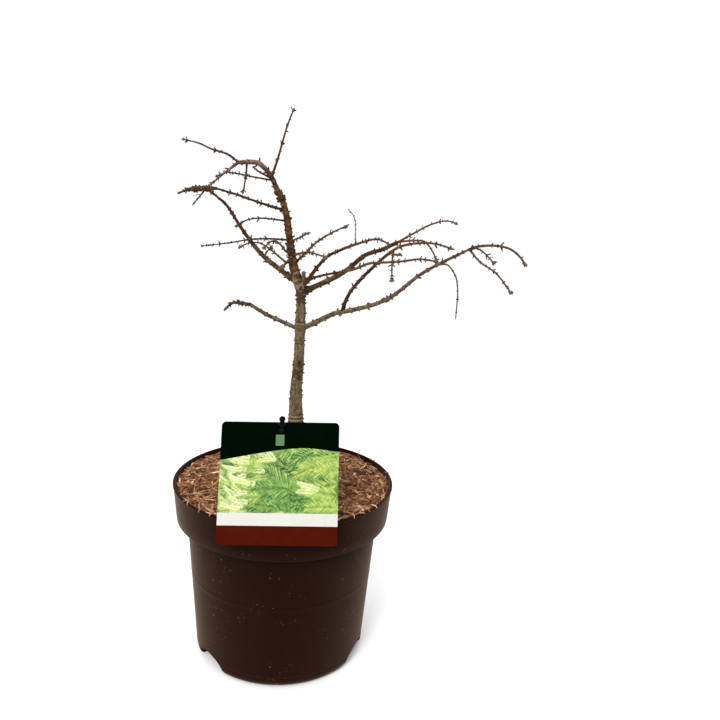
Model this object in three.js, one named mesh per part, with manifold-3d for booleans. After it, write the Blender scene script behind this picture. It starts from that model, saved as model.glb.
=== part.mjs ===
// A young dawn redwood of a dense, dwarf habit, leafless in winter, in its nursery pot.
//
// Millimetres, +Z up. The origin is the centre of the pot's flat underside, +X points to the side
// where the tree reaches furthest and +Y to its back. The pot is a tall-collared thin shell, filled
// with compost and shredded bark. A bare label card hangs on a stake and leans over the front rim.
//
// Every limb is a tapering tube along a smooth curve. It leaves its parent at a stated distance,
// grows in one compass heading (0 is +X, 90 is +Y) and is a run of stretches, each with a length
// and a climb above the horizontal, where a climb over 90 leans back past the vertical. Opposite
// pairs of short spurs come by a seeded rule, and the last stretches of each limb are a spray of
// three-sided twigs that is a piece of its own.

import * as THREE from 'three';
import { mergeVertices } from 'three/addons/utils/BufferGeometryUtils.js';
import Module from 'manifold-3d';

const wasm = await Module();
wasm.setup();

// ---- driving dimensions -------------------------------------------------------------------

const GAP = 0.3; // clearance between pieces that touch

const POT = {
  height: 209,
  rimRadius: 126.5,
  lip: 0.8, // how far the rolled lip stands out
  lipHeight: 3.5,
  collarFoot: 166, // height of the collar's lower edge
  collarFootRadius: 122.4,
  wallTopRadius: 110.4, // just under the collar
  wallFootRadius: 99.4, // where the wall meets the rounded foot
  footHeight: 10,
  undersideRadius: 91,
  wall: 2.5,
  floor: 3.5,
  notches: 3, // arches cut in the foot, to drain it
  notchHeading: -18.5,
  notchWidth: 51,
  notchDepth: 22,
  notchHeight: 19,
};
const ROUND = 48; // facets round the pot

const MULCH = {
  edgeHeight: 203.5,
  topHeight: 206,
  flatRadius: 34, // level ground round the trunk
  swell: 2.2,
  shreds: 16,
};

const CARD = { width: 122, height: 125, thick: 0.8, corner: 4.5, lean: 27.6, turn: 2.2, shift: 4.8 };
const CARD_OVERHANG = 19.1; // card below the point where it rests on the rim
const STAKE = { x: 4.3, thick: 4.4, sink: 45, holeFromTop: 10.5, head: 14.4, knob: 6.4, bar: 8.6 };

const TRUNK_FOOT = new THREE.Vector3(12, 0, MULCH.topHeight + GAP);

// ---- colours and materials ----------------------------------------------------------------

const matte = (color, roughness) => new THREE.MeshStandardMaterial({ color, roughness, metalness: 0 });
const FINISH = {
  pot: matte(0x33261f, 0.55),
  mulch: matte(0x7d4a33, 0.95),
  card: matte(0x5f9a3c, 0.4),
  stake: matte(0x151515, 0.4),
  bark: matte(0x6a5a4c, 0.85),
  twig: matte(0x5b4038, 0.8),
};

// ---- solids -------------------------------------------------------------------------------

function mulberry(seed) {
  let state = seed;
  return () => {
    state = (state + 0x6d2b79f5) | 0;
    let t = Math.imul(state ^ (state >>> 15), 1 | state);
    t = (t + Math.imul(t ^ (t >>> 7), 61 | t)) ^ t;
    return ((t ^ (t >>> 14)) >>> 0) / 4294967296;
  };
}

function solidOf(geometry) {
  const bare = geometry.clone();
  bare.deleteAttribute('normal');
  bare.deleteAttribute('uv');
  const merged = mergeVertices(bare, 1e-4);
  const index = merged.index.array;
  const triVerts = [];
  for (let i = 0; i < index.length; i += 3) {
    const [a, b, c] = index.slice(i, i + 3);
    if (a !== b && b !== c && c !== a) triVerts.push(a, b, c);
  }
  const vertProperties = new Float32Array(merged.attributes.position.array);
  const solid = new wasm.Manifold(
    new wasm.Mesh({ numProp: 3, vertProperties, triVerts: new Uint32Array(triVerts) }),
  );
  if (solid.volume() > 0) return solid;
  for (let i = 0; i < triVerts.length; i += 3) {
    [triVerts[i], triVerts[i + 1]] = [triVerts[i + 1], triVerts[i]];
  }
  return new wasm.Manifold(
    new wasm.Mesh({ numProp: 3, vertProperties, triVerts: new Uint32Array(triVerts) }),
  );
}

function geometryOf(solid) {
  const mesh = solid.getMesh();
  const geometry = new THREE.BufferGeometry();
  geometry.setAttribute('position', new THREE.BufferAttribute(new Float32Array(mesh.vertProperties), 3));
  geometry.setIndex(new THREE.BufferAttribute(new Uint32Array(mesh.triVerts), 1));
  return geometry;
}

// The largest connected piece, so that a cut leaves one body.
function mainBody(solid) {
  const pieces = solid.decompose();
  return pieces.reduce((best, piece) => (piece.volume() > best.volume() ? piece : best));
}

// A closed profile of [radius, height] turned about the Z axis.
function turned(profile, facets = ROUND) {
  const points = profile.map(([radius, height]) => new THREE.Vector2(radius, height));
  const geometry = new THREE.LatheGeometry(points, facets);
  return geometry.rotateX(Math.PI / 2);
}

// A tube with one radius a ring, flat at both ends.
function tube(curve, radii, sides) {
  const rings = radii.length;
  const centres = curve.getSpacedPoints(rings - 1);
  const frames = curve.computeFrenetFrames(rings - 1, false);
  const positions = [];
  const index = [];
  for (let i = 0; i < rings; i += 1) {
    for (let j = 0; j < sides; j += 1) {
      const turn = (2 * Math.PI * j) / sides;
      const point = centres[i].clone();
      point.addScaledVector(frames.normals[i], Math.cos(turn) * radii[i]);
      point.addScaledVector(frames.binormals[i], Math.sin(turn) * radii[i]);
      positions.push(point.x, point.y, point.z);
    }
  }
  for (let i = 0; i + 1 < rings; i += 1) {
    for (let j = 0; j < sides; j += 1) {
      const a = i * sides + j;
      const b = i * sides + ((j + 1) % sides);
      index.push(a, b, b + sides, a, b + sides, a + sides);
    }
  }
  for (let j = 1; j + 1 < sides; j += 1) {
    const top = (rings - 1) * sides;
    index.push(0, j + 1, j, top, top + j, top + j + 1);
  }
  const geometry = new THREE.BufferGeometry();
  geometry.setAttribute('position', new THREE.Float32BufferAttribute(positions, 3));
  geometry.setIndex(index);
  return solidOf(geometry);
}

// A three-sided peg from a point along a direction, for a spur or a bud. Its root is thin enough
// to stay inside the limb that it grows from.
function peg(root, direction, length, rootRadius, tipRadius) {
  const geometry = new THREE.CylinderGeometry(tipRadius, rootRadius, length, 3);
  geometry.translate(0, length / 2, 0);
  const turn = new THREE.Quaternion().setFromUnitVectors(new THREE.Vector3(0, 1, 0), direction);
  geometry.applyQuaternion(turn);
  geometry.translate(root.x, root.y, root.z);
  return solidOf(geometry);
}

// ---- limbs --------------------------------------------------------------------------------

const limbs = new Map();

function along(heading, climb) {
  const turn = THREE.MathUtils.degToRad(heading);
  const rise = THREE.MathUtils.degToRad(climb);
  return new THREE.Vector3(Math.cos(rise) * Math.cos(turn), Math.cos(rise) * Math.sin(turn), Math.sin(rise));
}

// The curve of a run of [length, climb] stretches from a start.
function courseOf(start, heading, run) {
  const points = [start.clone()];
  for (const [length, climb] of run) {
    points.push(points.at(-1).clone().addScaledVector(along(heading, climb), length));
  }
  return new THREE.CatmullRomCurve3(points, false, 'centripetal');
}

// Diameter at a distance: thick is [first, last], or a list of [distance, diameter].
function diameterAt(limb, distance) {
  const { thick, length } = limb;
  if (!Array.isArray(thick[0])) return THREE.MathUtils.lerp(thick[0], thick[1], distance / length);
  const next = thick.findIndex(([mark]) => mark >= distance);
  if (next === -1) return thick.at(-1)[1];
  if (next === 0) return thick[0][1];
  const [from, to] = [thick[next - 1], thick[next]];
  return THREE.MathUtils.mapLinear(distance, from[0], to[0], from[1], to[1]);
}

// A limb widens into a collar where it leaves the side of another.
function radiusAt(limb, distance) {
  const collar = limb.collar ? 1 + 0.3 * Math.exp(-distance / 4) : 1;
  return (diameterAt(limb, distance) / 2) * collar;
}

function addLimb(name, spec) {
  const parent = limbs.get(spec.on);
  const goesOn = spec.at === 'tip';
  let start = TRUNK_FOOT;
  if (goesOn) {
    const end = parent.curve.getTangentAt(1);
    start = parent.curve.getPointAt(1).addScaledVector(end, GAP + 0.05);
  } else if (parent) {
    start = parent.curve.getPointAt(spec.at / parent.length);
  }
  const curve = courseOf(start, spec.heading, spec.run);
  const limb = { ...spec, name, curve, length: curve.getLength(), collar: Boolean(parent) && !goesOn };
  limb.samples = curve.getSpacedPoints(Math.ceil(limb.length / 2));
  limbs.set(name, limb);
  return limb;
}

// Whether a straight spur keeps clear of every limb but its own.
function isClear(root, direction, length, own) {
  const margin = 1.2;
  for (const limb of limbs.values()) {
    if (limb === own) continue;
    for (const reach of [0.5, 1]) {
      const point = root.clone().addScaledVector(direction, length * reach);
      for (let i = 0; i < limb.samples.length; i += 1) {
        const thick = radiusAt(limb, (limb.length * i) / (limb.samples.length - 1));
        if (point.distanceTo(limb.samples[i]) < thick + margin) return false;
      }
    }
  }
  return true;
}

// A direction that leans out from the limb's own at a turn about it.
function leaning(limb, distance, turn, lean) {
  const tangent = limb.curve.getTangentAt(Math.min(1, distance / limb.length));
  const side = new THREE.Vector3(0, 0, 1).cross(tangent);
  if (side.lengthSq() < 1e-4) side.set(1, 0, 0);
  side.normalize();
  side.applyAxisAngle(tangent, turn);
  return tangent.multiplyScalar(Math.cos(lean)).addScaledVector(side, Math.sin(lean)).normalize();
}

// Opposite pairs of spurs, each pair turned a quarter from the last.
function spursOf(limb, random) {
  const { gap, reach, from = gap * 0.6 } = limb.spurs;
  const spurs = [];
  let quarter = Math.floor(random() * 2);
  let distance = from + random() * gap * 0.4;
  while (distance < limb.length - 2) {
    const root = limb.curve.getPointAt(distance / limb.length);
    const radius = radiusAt(limb, distance);
    const spread = (quarter * Math.PI) / 2 + (random() - 0.5) * 0.5;
    for (const half of [0, Math.PI]) {
      const lean = 0.85 + random() * 0.35;
      const length = radius + reach * (0.65 + random() * 0.7);
      const direction = leaning(limb, distance, spread + half, lean);
      if (isClear(root, direction, length, limb)) {
        const ends = limb.kind === 'spray' ? [radius * 0.42, 0.7] : [Math.min(1.2, radius * 0.6), 0];
        spurs.push(peg(root, direction, length, ...ends));
      }
    }
    quarter += 1;
    distance += gap * (0.8 + random() * 0.4);
  }
  return spurs;
}

// The buds that end a twig: one straight on and two beside it.
function budsOf(limb, random) {
  const tip = limb.curve.getPointAt(1 - 1.5 / limb.length);
  const spread = random() * Math.PI;
  const root = radiusAt(limb, limb.length) * 0.42;
  const buds = [peg(tip, limb.curve.getTangentAt(1), 2.4, root, 0.8)];
  for (const half of [0, Math.PI]) {
    buds.push(peg(tip, leaning(limb, limb.length, spread + half, 0.75), 2.8, root, 0.75));
  }
  return buds;
}

function tubeOf(limb, sides, ringGap, extra = 0) {
  const rings = Math.max(3, Math.ceil(limb.length / ringGap) + 1);
  const radii = [];
  for (let i = 0; i < rings; i += 1) {
    radii.push(radiusAt(limb, (limb.length * i) / (rings - 1)) + extra);
  }
  return tube(limb.curve, radii, sides);
}

// A limb's tube grown by the clearance, and run on past both of its ends, to cut others clear.
function clearanceOf(name) {
  const limb = limbs.get(name);
  const grown = tubeOf(limb, SIDES[limb.kind], RING_GAP[limb.kind], GAP + 0.1);
  const tip = limb.curve.getPointAt(1);
  const end = limb.curve.getTangentAt(1);
  const from = tip.clone().addScaledVector(end, -1);
  const to = tip.clone().addScaledVector(end, GAP);
  const cap = tube(new THREE.LineCurve3(from, to), Array(3).fill(radiusAt(limb, limb.length) + GAP), 12);
  return grown.add(cap);
}

const SIDES = { trunk: 10, leader: 8, bough: 5, spray: 3 };
const RING_GAP = { trunk: 7, leader: 8, bough: 9, spray: 9 };
const SLIVER = 0.04; // detail finer than this is merged away

// ---- pot and ground -----------------------------------------------------------------------

function potOuter() {
  const { footHeight, wallFootRadius, undersideRadius } = POT;
  const corner = [];
  const steps = 2;
  for (let i = 0; i <= steps; i += 1) {
    const turn = (Math.PI / 2) * (i / steps);
    corner.push([
      undersideRadius + (wallFootRadius - undersideRadius) * Math.sin(turn),
      footHeight * (1 - Math.cos(turn)),
    ]);
  }
  return [
    [0, 0],
    ...corner,
    [POT.wallTopRadius, POT.collarFoot],
    [POT.collarFootRadius - 0.8, POT.collarFoot],
    [POT.collarFootRadius, POT.collarFoot + 1.2],
    [POT.rimRadius - POT.lip, POT.height - POT.lipHeight],
    [POT.rimRadius, POT.height - POT.lipHeight + 1],
    [POT.rimRadius, POT.height],
  ];
}

function potInner(clear) {
  const { wall, floor, footHeight, collarFoot, height } = POT;
  return [
    [POT.rimRadius - POT.lip - wall - clear, height],
    [POT.collarFootRadius - wall - clear, collarFoot + wall + clear],
    [POT.wallTopRadius - wall - clear, collarFoot + wall + clear],
    [POT.wallFootRadius - wall - clear, footHeight],
    [POT.undersideRadius - clear, floor + clear],
    [0, floor + clear],
  ];
}

// An arched block that reaches in from the foot's edge, for one notch or the wall behind it.
function notchBlock(i, extra) {
  const { notchWidth, notchDepth, notchHeight, wallFootRadius } = POT;
  const half = notchWidth / 2 + extra;
  const arch = new THREE.Shape();
  arch.moveTo(-half, -4);
  arch.lineTo(half, -4);
  arch.absellipse(0, 0, half, notchHeight + extra, 0, Math.PI, false, 0);
  const depth = notchDepth + extra + 20;
  const block = new THREE.ExtrudeGeometry(arch, { depth, bevelEnabled: false, curveSegments: 6 });
  block.rotateX(Math.PI / 2);
  block.rotateZ(Math.PI / 2);
  block.translate(wallFootRadius - notchDepth - extra, 0, 0);
  block.rotateZ(THREE.MathUtils.degToRad(POT.notchHeading + (360 / POT.notches) * i));
  return solidOf(block);
}

function makePot() {
  let solid = solidOf(turned([...potOuter(), ...potInner(0)]));
  const body = solidOf(turned([...potOuter(), [0, POT.height]]));
  for (let i = 0; i < POT.notches; i += 1) {
    solid = solid.add(notchBlock(i, POT.wall).intersect(body));
    solid = solid.subtract(notchBlock(i, 0));
  }
  return solid;
}

function makeMulch() {
  const random = mulberry(11);
  const inner = potInner(GAP);
  const [rim, collar] = inner;
  const share = (MULCH.edgeHeight - collar[1]) / (rim[1] - collar[1]);
  const edge = THREE.MathUtils.lerp(collar[0], rim[0], share);
  const profile = [
    [0, MULCH.topHeight],
    [MULCH.flatRadius, MULCH.topHeight],
    [58, MULCH.topHeight - 0.3],
    [84, MULCH.topHeight - 0.8],
    [108, MULCH.edgeHeight + 0.8],
    [edge, MULCH.edgeHeight],
    ...inner.slice(1),
  ];
  const geometry = turned(profile);
  const places = geometry.attributes.position;
  const lift = new Map();
  for (let i = 0; i < places.count; i += 1) {
    const radius = Math.hypot(places.getX(i), places.getY(i));
    const onTop = places.getZ(i) > MULCH.edgeHeight + 0.2;
    if (!onTop || radius < MULCH.flatRadius + 1 || radius > 116) continue;
    const key = `${places.getX(i).toFixed(2)} ${places.getY(i).toFixed(2)}`.replaceAll('-0.00', '0.00');
    if (!lift.has(key)) lift.set(key, (random() - 0.5) * 2 * MULCH.swell);
    places.setZ(i, places.getZ(i) + lift.get(key));
  }
  let solid = solidOf(geometry);
  for (let i = 0; i < MULCH.shreds; i += 1) {
    const heading = random() * 2 * Math.PI;
    const radius = 38 + 68 * Math.sqrt(random());
    const shred = new THREE.CylinderGeometry(1.3, 0.7, 14 + random() * 16, 3);
    shred.rotateX((random() - 0.5) * 0.16);
    shred.rotateZ(random() * Math.PI);
    shred.translate(radius * Math.cos(heading), radius * Math.sin(heading), MULCH.topHeight + 0.2);
    solid = solid.add(solidOf(shred));
  }
  for (let i = 0; i < POT.notches; i += 1) {
    solid = solid.subtract(notchBlock(i, POT.wall + GAP));
  }
  return mainBody(solid.subtract(stakeRod(STAKE.thick / 2 + GAP)));
}

// ---- label card and its stake -------------------------------------------------------------

const LEAN = THREE.MathUtils.degToRad(CARD.lean);

// Where the card's back rests: the front of the rim, just clear.
const REST = new THREE.Vector3(0, -POT.rimRadius, POT.height)
  .add(new THREE.Vector3(0, -Math.cos(LEAN), Math.sin(LEAN)).multiplyScalar(GAP));

function cardPoint(up) {
  return new THREE.Vector3(0, Math.sin(LEAN), Math.cos(LEAN)).multiplyScalar(up).add(REST);
}

const HOLE = cardPoint(CARD.height - CARD_OVERHANG - STAKE.holeFromTop);

function stakeRod(radius) {
  const foot = MULCH.topHeight - STAKE.sink - (radius - STAKE.thick / 2);
  const top = HOLE.z + STAKE.head;
  const rod = new THREE.CylinderGeometry(radius, radius, top - foot, 8);
  rod.rotateX(Math.PI / 2);
  rod.translate(STAKE.x, HOLE.y, (top + foot) / 2);
  return solidOf(rod);
}

function makeStake() {
  const top = HOLE.z + STAKE.head;
  const knob = new THREE.SphereGeometry(STAKE.knob / 2, 8, 5);
  knob.rotateX(Math.PI / 2);
  knob.translate(STAKE.x, HOLE.y, top);
  const bar = new THREE.BoxGeometry(STAKE.bar, STAKE.thick * 0.8, 2.4);
  bar.translate(STAKE.x, HOLE.y, HOLE.z + 8.5);
  return stakeRod(STAKE.thick / 2).add(solidOf(knob)).add(solidOf(bar));
}

function makeCard() {
  const { width, height, corner, thick } = CARD;
  const [x, y] = [width / 2 - corner, height / 2 - corner];
  const outline = new THREE.Shape();
  outline.absarc(x, y, corner, 0, Math.PI / 2, false);
  outline.absarc(-x, y, corner, Math.PI / 2, Math.PI, false);
  outline.absarc(-x, -y, corner, Math.PI, Math.PI * 1.5, false);
  outline.absarc(x, -y, corner, Math.PI * 1.5, Math.PI * 2, false);
  const card = new THREE.ExtrudeGeometry(outline, { depth: thick, bevelEnabled: false, curveSegments: 4 });
  card.rotateZ(THREE.MathUtils.degToRad(CARD.turn));
  card.rotateX(Math.PI / 2 - LEAN);
  const middle = cardPoint(height / 2 - CARD_OVERHANG);
  card.translate(middle.x + CARD.shift, middle.y, middle.z);
  return solidOf(card).subtract(stakeRod(STAKE.thick / 2 + GAP));
}

// ---- the tree -----------------------------------------------------------------------------

// Distances along the trunk and its diameters there: root flare, the swelling of the graft, the
// ring scar where the two low boughs leave, and the fork.
const TRUNK_GIRTH = [
  [0, 27], [8, 22.5], [22, 20], [50, 18.4], [73, 17.4], [88, 14.9], [108, 13.2], [135, 12], [165, 10.8],
  [177, 11.2], [184, 12.6], [190, 11], [212, 9.6], [222, 10.6], [232, 12], [240, 11], [247, 9.8],
];

addLimb('trunk', {
  kind: 'trunk', heading: 180, thick: TRUNK_GIRTH, spurs: { gap: 18, reach: 1.8, from: 84 },
  run: [[35, 89], [38, 90], [39, 89], [20, 94], [46, 91], [23, 90], [21, 88], [10, 77], [14, 68]],
});
addLimb('leader', {
  kind: 'leader', on: 'trunk', at: 'tip', heading: 176, spurs: { gap: 13, reach: 2.6 },
  thick: [[0, 9.9], [14, 8.8], [30, 7.4], [60, 7], [80, 6], [100, 5], [114, 5.2]],
  run: [[20, 80], [22, 80], [19, 80], [17, 72], [11, 60], [14, 65], [11, 49]],
});
addLimb('leader_arch', {
  kind: 'bough', on: 'leader', at: 'tip', heading: 195, thick: [5, 4], spurs: { gap: 9, reach: 3 },
  run: [[9, 35], [10, 3], [10, -6]],
});

// Main boughs, from the lowest up. Each is named for where it grows.
const BOUGHS = {
  bough_low_left: {
    on: 'trunk', at: 180, heading: 198, thick: [4.6, 3.7], run: [[20, 24], [23, 25], [20, 32]],
  },
  bough_low_right: {
    on: 'trunk', at: 180, heading: 346, thick: [5.4, 2.4],
    run: [[19, 29], [27, 29], [15, 15], [30, 19], [22, 29], [37, 42], [23, 34], [35, 30]],
  },
  bough_rising_right: {
    on: 'bough_low_right', at: 54, heading: 340, thick: [3.4, 2.5],
    run: [[12, 76], [12, 65], [13, 54], [24, 48], [24, 44]],
  },
  bough_high_right: {
    on: 'trunk', at: 221, heading: 20, thick: [5.8, 3.6],
    run: [[36, 24], [21, 29], [29, 38], [21, 18], [19, 25]],
  },
  bough_front_right: {
    on: 'trunk', at: 226, heading: 334, thick: [2.9, 2.2], run: [[15, 42], [11, 28], [29, 16]],
  },
  bough_back_right: {
    on: 'trunk', at: 229, heading: 42, thick: [4, 2.7], run: [[15, 31], [11, 47], [22, 41], [25, 20]],
  },
  bough_high_left: {
    on: 'trunk', at: 231, heading: 162, thick: [6.2, 2.5],
    run: [[28, 31], [21, 32], [22, 43], [23, 49], [27, 52], [17, 36]],
  },
  bough_top_left: {
    on: 'leader', at: 65, heading: 207, thick: [2.8, 2.2], run: [[33, 15], [22, 17], [24, 14]],
  },
};
for (const [name, bough] of Object.entries(BOUGHS)) {
  addLimb(name, { kind: 'bough', spurs: { gap: 16, reach: 2.8 }, ...bough });
}

// Sprays of bare twigs: one stem each, and the side twigs that grow from it.
const SPRAYS = {
  spray_low_left: {
    on: 'bough_low_left', at: 'tip', heading: 198, thick: [3.3, 1.6], spurs: { gap: 6, reach: 1.8 },
    run: [[19, 4], [12, -42]],
  },
  spray_low_right: {
    on: 'bough_low_right', at: 'tip', heading: 346, thick: [2.3, 1.6], run: [[10, 23], [19, 6], [14, -10],
      [13, -35], [10, -52]],
    sides: [
      { at: 0.5, heading: 318, thick: [1.7, 1.2], run: [[18, -38], [22, -24], [27, -41]] },
      { at: 6, heading: 20, thick: [1.3, 1.1], run: [[9, -21], [21, -38]] },
    ],
  },
  spray_drooping: {
    on: 'bough_low_right', at: 172, heading: 330, thick: [1.6, 1], spurs: { gap: 26, reach: 1 },
    run: [[11, 8], [14, -44], [14, -73], [32, -89]],
  },
  spray_rising_right: {
    on: 'bough_rising_right', at: 'tip', heading: 340, thick: [2.2, 1.2],
    run: [[14, 34], [20, 15], [18, 3], [20, -11]],
    sides: [
      { at: 6, heading: 280, thick: [1.6, 1.1], run: [[15, -99], [18, -76]] },
      { at: 2, heading: 320, thick: [1.7, 1.3], run: [[7, -14], [7, 6]], spurs: { gap: 20, reach: 1 } },
    ],
  },
  spray_high_right: {
    on: 'bough_high_right', at: 'tip', heading: 20, thick: [2.1, 1.1],
    run: [[21, 29], [22, 27], [21, 14], [14, -12]],
    sides: [{ at: 1, heading: 350, thick: [1.7, 1.1], run: [[20, 8], [9, -3], [15, -46], [12, -65]] }],
  },
  spray_front_right: {
    on: 'bough_front_right', at: 'tip', heading: 334, thick: [2, 1.2], spurs: { gap: 11, reach: 2.8 },
    run: [[17, 16], [19, 24], [16, 9], [22, 9], [18, 12], [20, -1]],
  },
  spray_back_right: {
    on: 'bough_back_right', at: 'tip', heading: 42, thick: [2.4, 1.2], spurs: { gap: 10, reach: 2.6 },
    run: [[27, 13], [25, 8], [20, -17]],
    sides: [{ at: 18, heading: 225, thick: [1.3, 1], run: [[30, 84], [15, 43]], bare: true }],
  },
  spray_high_left: {
    on: 'bough_high_left', at: 'tip', heading: 162, thick: [2.4, 1.6], spurs: { gap: 6.5, reach: 2.4 },
    run: [[13, 25], [18, -7]],
    sides: [{ at: 14, heading: 190, thick: [1.4, 1], run: [[23, -52]] }],
  },
  spray_inner_left: {
    on: 'leader', at: 14.5, heading: 205, thick: [2.6, 1.8], run: [[8, -38], [8, -50]],
    sides: [{
      at: 9, heading: 145, thick: [1.8, 1.1],
      run: [[13, 28], [11, 27], [10, 23], [9, 16], [15, -5], [18, -21]],
    }],
  },
  spray_fork: {
    on: 'bough_high_left', at: 49.5, heading: 30, thick: [1.5, 1.2], run: [[6, 68], [9, 46]],
  },
  spray_snag: {
    on: 'trunk', at: 229, heading: 335, thick: [3.4, 3.4], spurs: { gap: 30, reach: 1 }, cut: true,
    run: [[7, 48], [11, 90]],
  },
  spray_behind: {
    on: 'leader', at: 7, heading: 55, thick: [2.4, 1.2], run: [[19, 29], [27, 30], [27, 19], [31, 14]],
  },
  spray_left_front: {
    on: 'leader', at: 16, heading: 235, thick: [1.8, 1.2], spurs: { gap: 9, reach: 2 },
    run: [[14, 30], [10, 41], [7, 28], [11, 0], [11, -36]],
  },
  spray_right_front: {
    on: 'leader', at: 17, heading: 318, thick: [2.4, 1.1], spurs: { gap: 8, reach: 2 },
    run: [[27, 13], [13, -4], [14, -6]],
  },
  spray_right_middle: {
    on: 'leader', at: 32, heading: 300, thick: [1.7, 1.1], run: [[22, 15], [24, 18]],
  },
  spray_left_middle: {
    on: 'leader', at: 33.5, heading: 145, thick: [2.2, 1], run: [[36, -3], [27, -8], [30, -12], [47, -10]],
  },
  spray_left_upper: {
    on: 'leader', at: 54, heading: 218, thick: [1.7, 1.1], run: [[33, 5], [16, -6], [16, -27]],
  },
  spray_top_left: {
    on: 'bough_top_left', at: 'tip', heading: 207, thick: [[0, 2.6], [8, 4.4], [24, 4.2], [32, 1.8], [40, 1.2]],
    spurs: { gap: 5, reach: 2 }, run: [[18, -2], [12, -9], [10, -22]],
  },
  spray_top_front: {
    on: 'leader', at: 100.5, heading: 215, thick: [1.8, 1.1], run: [[20, 24], [7, 38]],
  },
  spray_top_back: {
    on: 'leader', at: 99, heading: 150, thick: [1.6, 1.1], run: [[24, 5], [31, 6], [10, -1], [16, -18]],
  },
  spray_top: {
    on: 'leader', at: 103, heading: 40, thick: [2.2, 1.1], run: [[23, 70], [36, 72], [18, 65]],
  },
  spray_arch_hanging: {
    on: 'leader_arch', at: 21, heading: 250, thick: [1.8, 1.1], run: [[12, -85], [22, -72]],
  },
  spray_arch_left: {
    on: 'leader_arch', at: 'tip', heading: 155, thick: [2.6, 1.2],
    run: [[16, 29], [22, 13], [17, 18], [23, 9]],
    sides: [{
      at: 0.5, heading: 215, thick: [2.8, 1.4], run: [[14, -36], [9, -36], [20, -39]],
    }],
  },
};
for (const [name, spray] of Object.entries(SPRAYS)) {
  addLimb(name, { kind: 'spray', spurs: { gap: 19, reach: 3.2 }, ...spray });
  (spray.sides ?? []).forEach((side, i) => {
    addLimb(`${name}.${i}`, { kind: 'spray', on: name, spurs: { gap: 19, reach: 3.2 }, ...side });
  });
}

// One piece of the tree: its tube, its spurs, its side twigs and its buds, cut clear of its parent.
function makeLimb(name, seed) {
  const random = mulberry(seed);
  const limb = limbs.get(name);
  const members = [limb];
  (limb.sides ?? []).forEach((side, i) => members.push(limbs.get(`${name}.${i}`)));
  const parts = [];
  for (const member of members) {
    parts.push(tubeOf(member, SIDES[limb.kind], RING_GAP[limb.kind]));
    if (!member.bare) parts.push(...spursOf(member, random));
    if (limb.kind === 'spray' && !member.cut) parts.push(...budsOf(member, random));
  }
  const solid = wasm.Manifold.union(parts).simplify(SLIVER);
  return limb.on ? mainBody(solid.subtract(clearanceOf(limb.on)).simplify(SLIVER)) : solid;
}

// ---- the assembled part -------------------------------------------------------------------

const part = new THREE.Group();

function addPiece(name, solid, material) {
  const mesh = new THREE.Mesh(geometryOf(solid), material);
  mesh.name = name;
  part.add(mesh);
}

addPiece('pot', makePot(), FINISH.pot);
addPiece('mulch', makeMulch(), FINISH.mulch);
addPiece('label_stake', makeStake(), FINISH.stake);
addPiece('label_card', makeCard(), FINISH.card);

const WOOD = ['trunk', 'leader', 'leader_arch', ...Object.keys(BOUGHS)];
WOOD.forEach((name, i) => addPiece(name, makeLimb(name, 100 + i), FINISH.bark));
Object.keys(SPRAYS).forEach((name, i) => addPiece(name, makeLimb(name, 200 + i), FINISH.twig));

export default part;
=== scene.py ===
"""The looks of a young dawn redwood of dwarf habit, bare in winter, in its nursery pot.

Blender objects are in metres with Z up, in the frame of the CAD part. The plant's own measures are
in millimetres here, as they are in the CAD source, and `MM` turns them into metres when a mesh is
made. Each limb grows again by the source's rule and is carried on to finer spurs, buds and scales.
"""

import logging
import math
from collections.abc import Callable, Iterable, Sequence
from dataclasses import dataclass, field, replace
from enum import Enum

import bpy
import numpy as np
from mathutils import Matrix, Vector

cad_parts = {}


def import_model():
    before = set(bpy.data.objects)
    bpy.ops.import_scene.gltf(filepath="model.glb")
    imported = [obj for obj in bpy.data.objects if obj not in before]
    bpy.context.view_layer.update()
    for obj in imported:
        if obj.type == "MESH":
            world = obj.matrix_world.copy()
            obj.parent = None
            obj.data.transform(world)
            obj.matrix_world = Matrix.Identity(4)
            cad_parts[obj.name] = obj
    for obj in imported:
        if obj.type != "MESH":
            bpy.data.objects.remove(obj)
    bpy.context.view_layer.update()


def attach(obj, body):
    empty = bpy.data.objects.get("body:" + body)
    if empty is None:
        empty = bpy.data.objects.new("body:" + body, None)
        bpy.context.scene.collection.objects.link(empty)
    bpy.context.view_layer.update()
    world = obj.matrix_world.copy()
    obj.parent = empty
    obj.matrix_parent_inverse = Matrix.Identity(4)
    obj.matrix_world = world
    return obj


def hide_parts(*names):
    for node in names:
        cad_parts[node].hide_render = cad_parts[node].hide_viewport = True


Array = np.ndarray
Rng = np.random.Generator
Piece = bpy.types.Object
Tree = bpy.types.NodeTree
Socket = bpy.types.NodeSocket
Node = bpy.types.Node
Outputs = bpy.types.NodeOutputs
Given = dict[str | int, object]  # sockets or values for a node's inputs
Profile = list[tuple[float, float]]
Point = tuple[float, float, float]
Surface = tuple[Array, list[Array], Array]  # points, faces and the shade at each point

LOG = logging.getLogger("dawn_redwood")
MM = 0.001
GAP = 0.3  # the clearance between solids that touch, in the CAD source
UP = np.array([0.0, 0.0, 1.0])
EAST = np.array([1.0, 0.0, 0.0])
WORD = 0xFFFFFFFF  # all the bits of a 32-bit whole number
END_SHADES = [0.4, 0.4]  # the shades of the two points that close a limb


# ---- numbers ----


def tone(code: str) -> tuple[float, ...]:
    """Turns a hex colour as seen on a screen into Blender's linear colour.

    Args:
        code: Six hex digits.

    Returns:
        Red, green, blue and an alpha of 1.
    """
    shown = [int(code[i : i + 2], 16) / 255 for i in (0, 2, 4)]
    return (*(c / 12.92 if c <= 0.04045 else ((c + 0.055) / 1.055) ** 2.4 for c in shown), 1.0)


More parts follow.
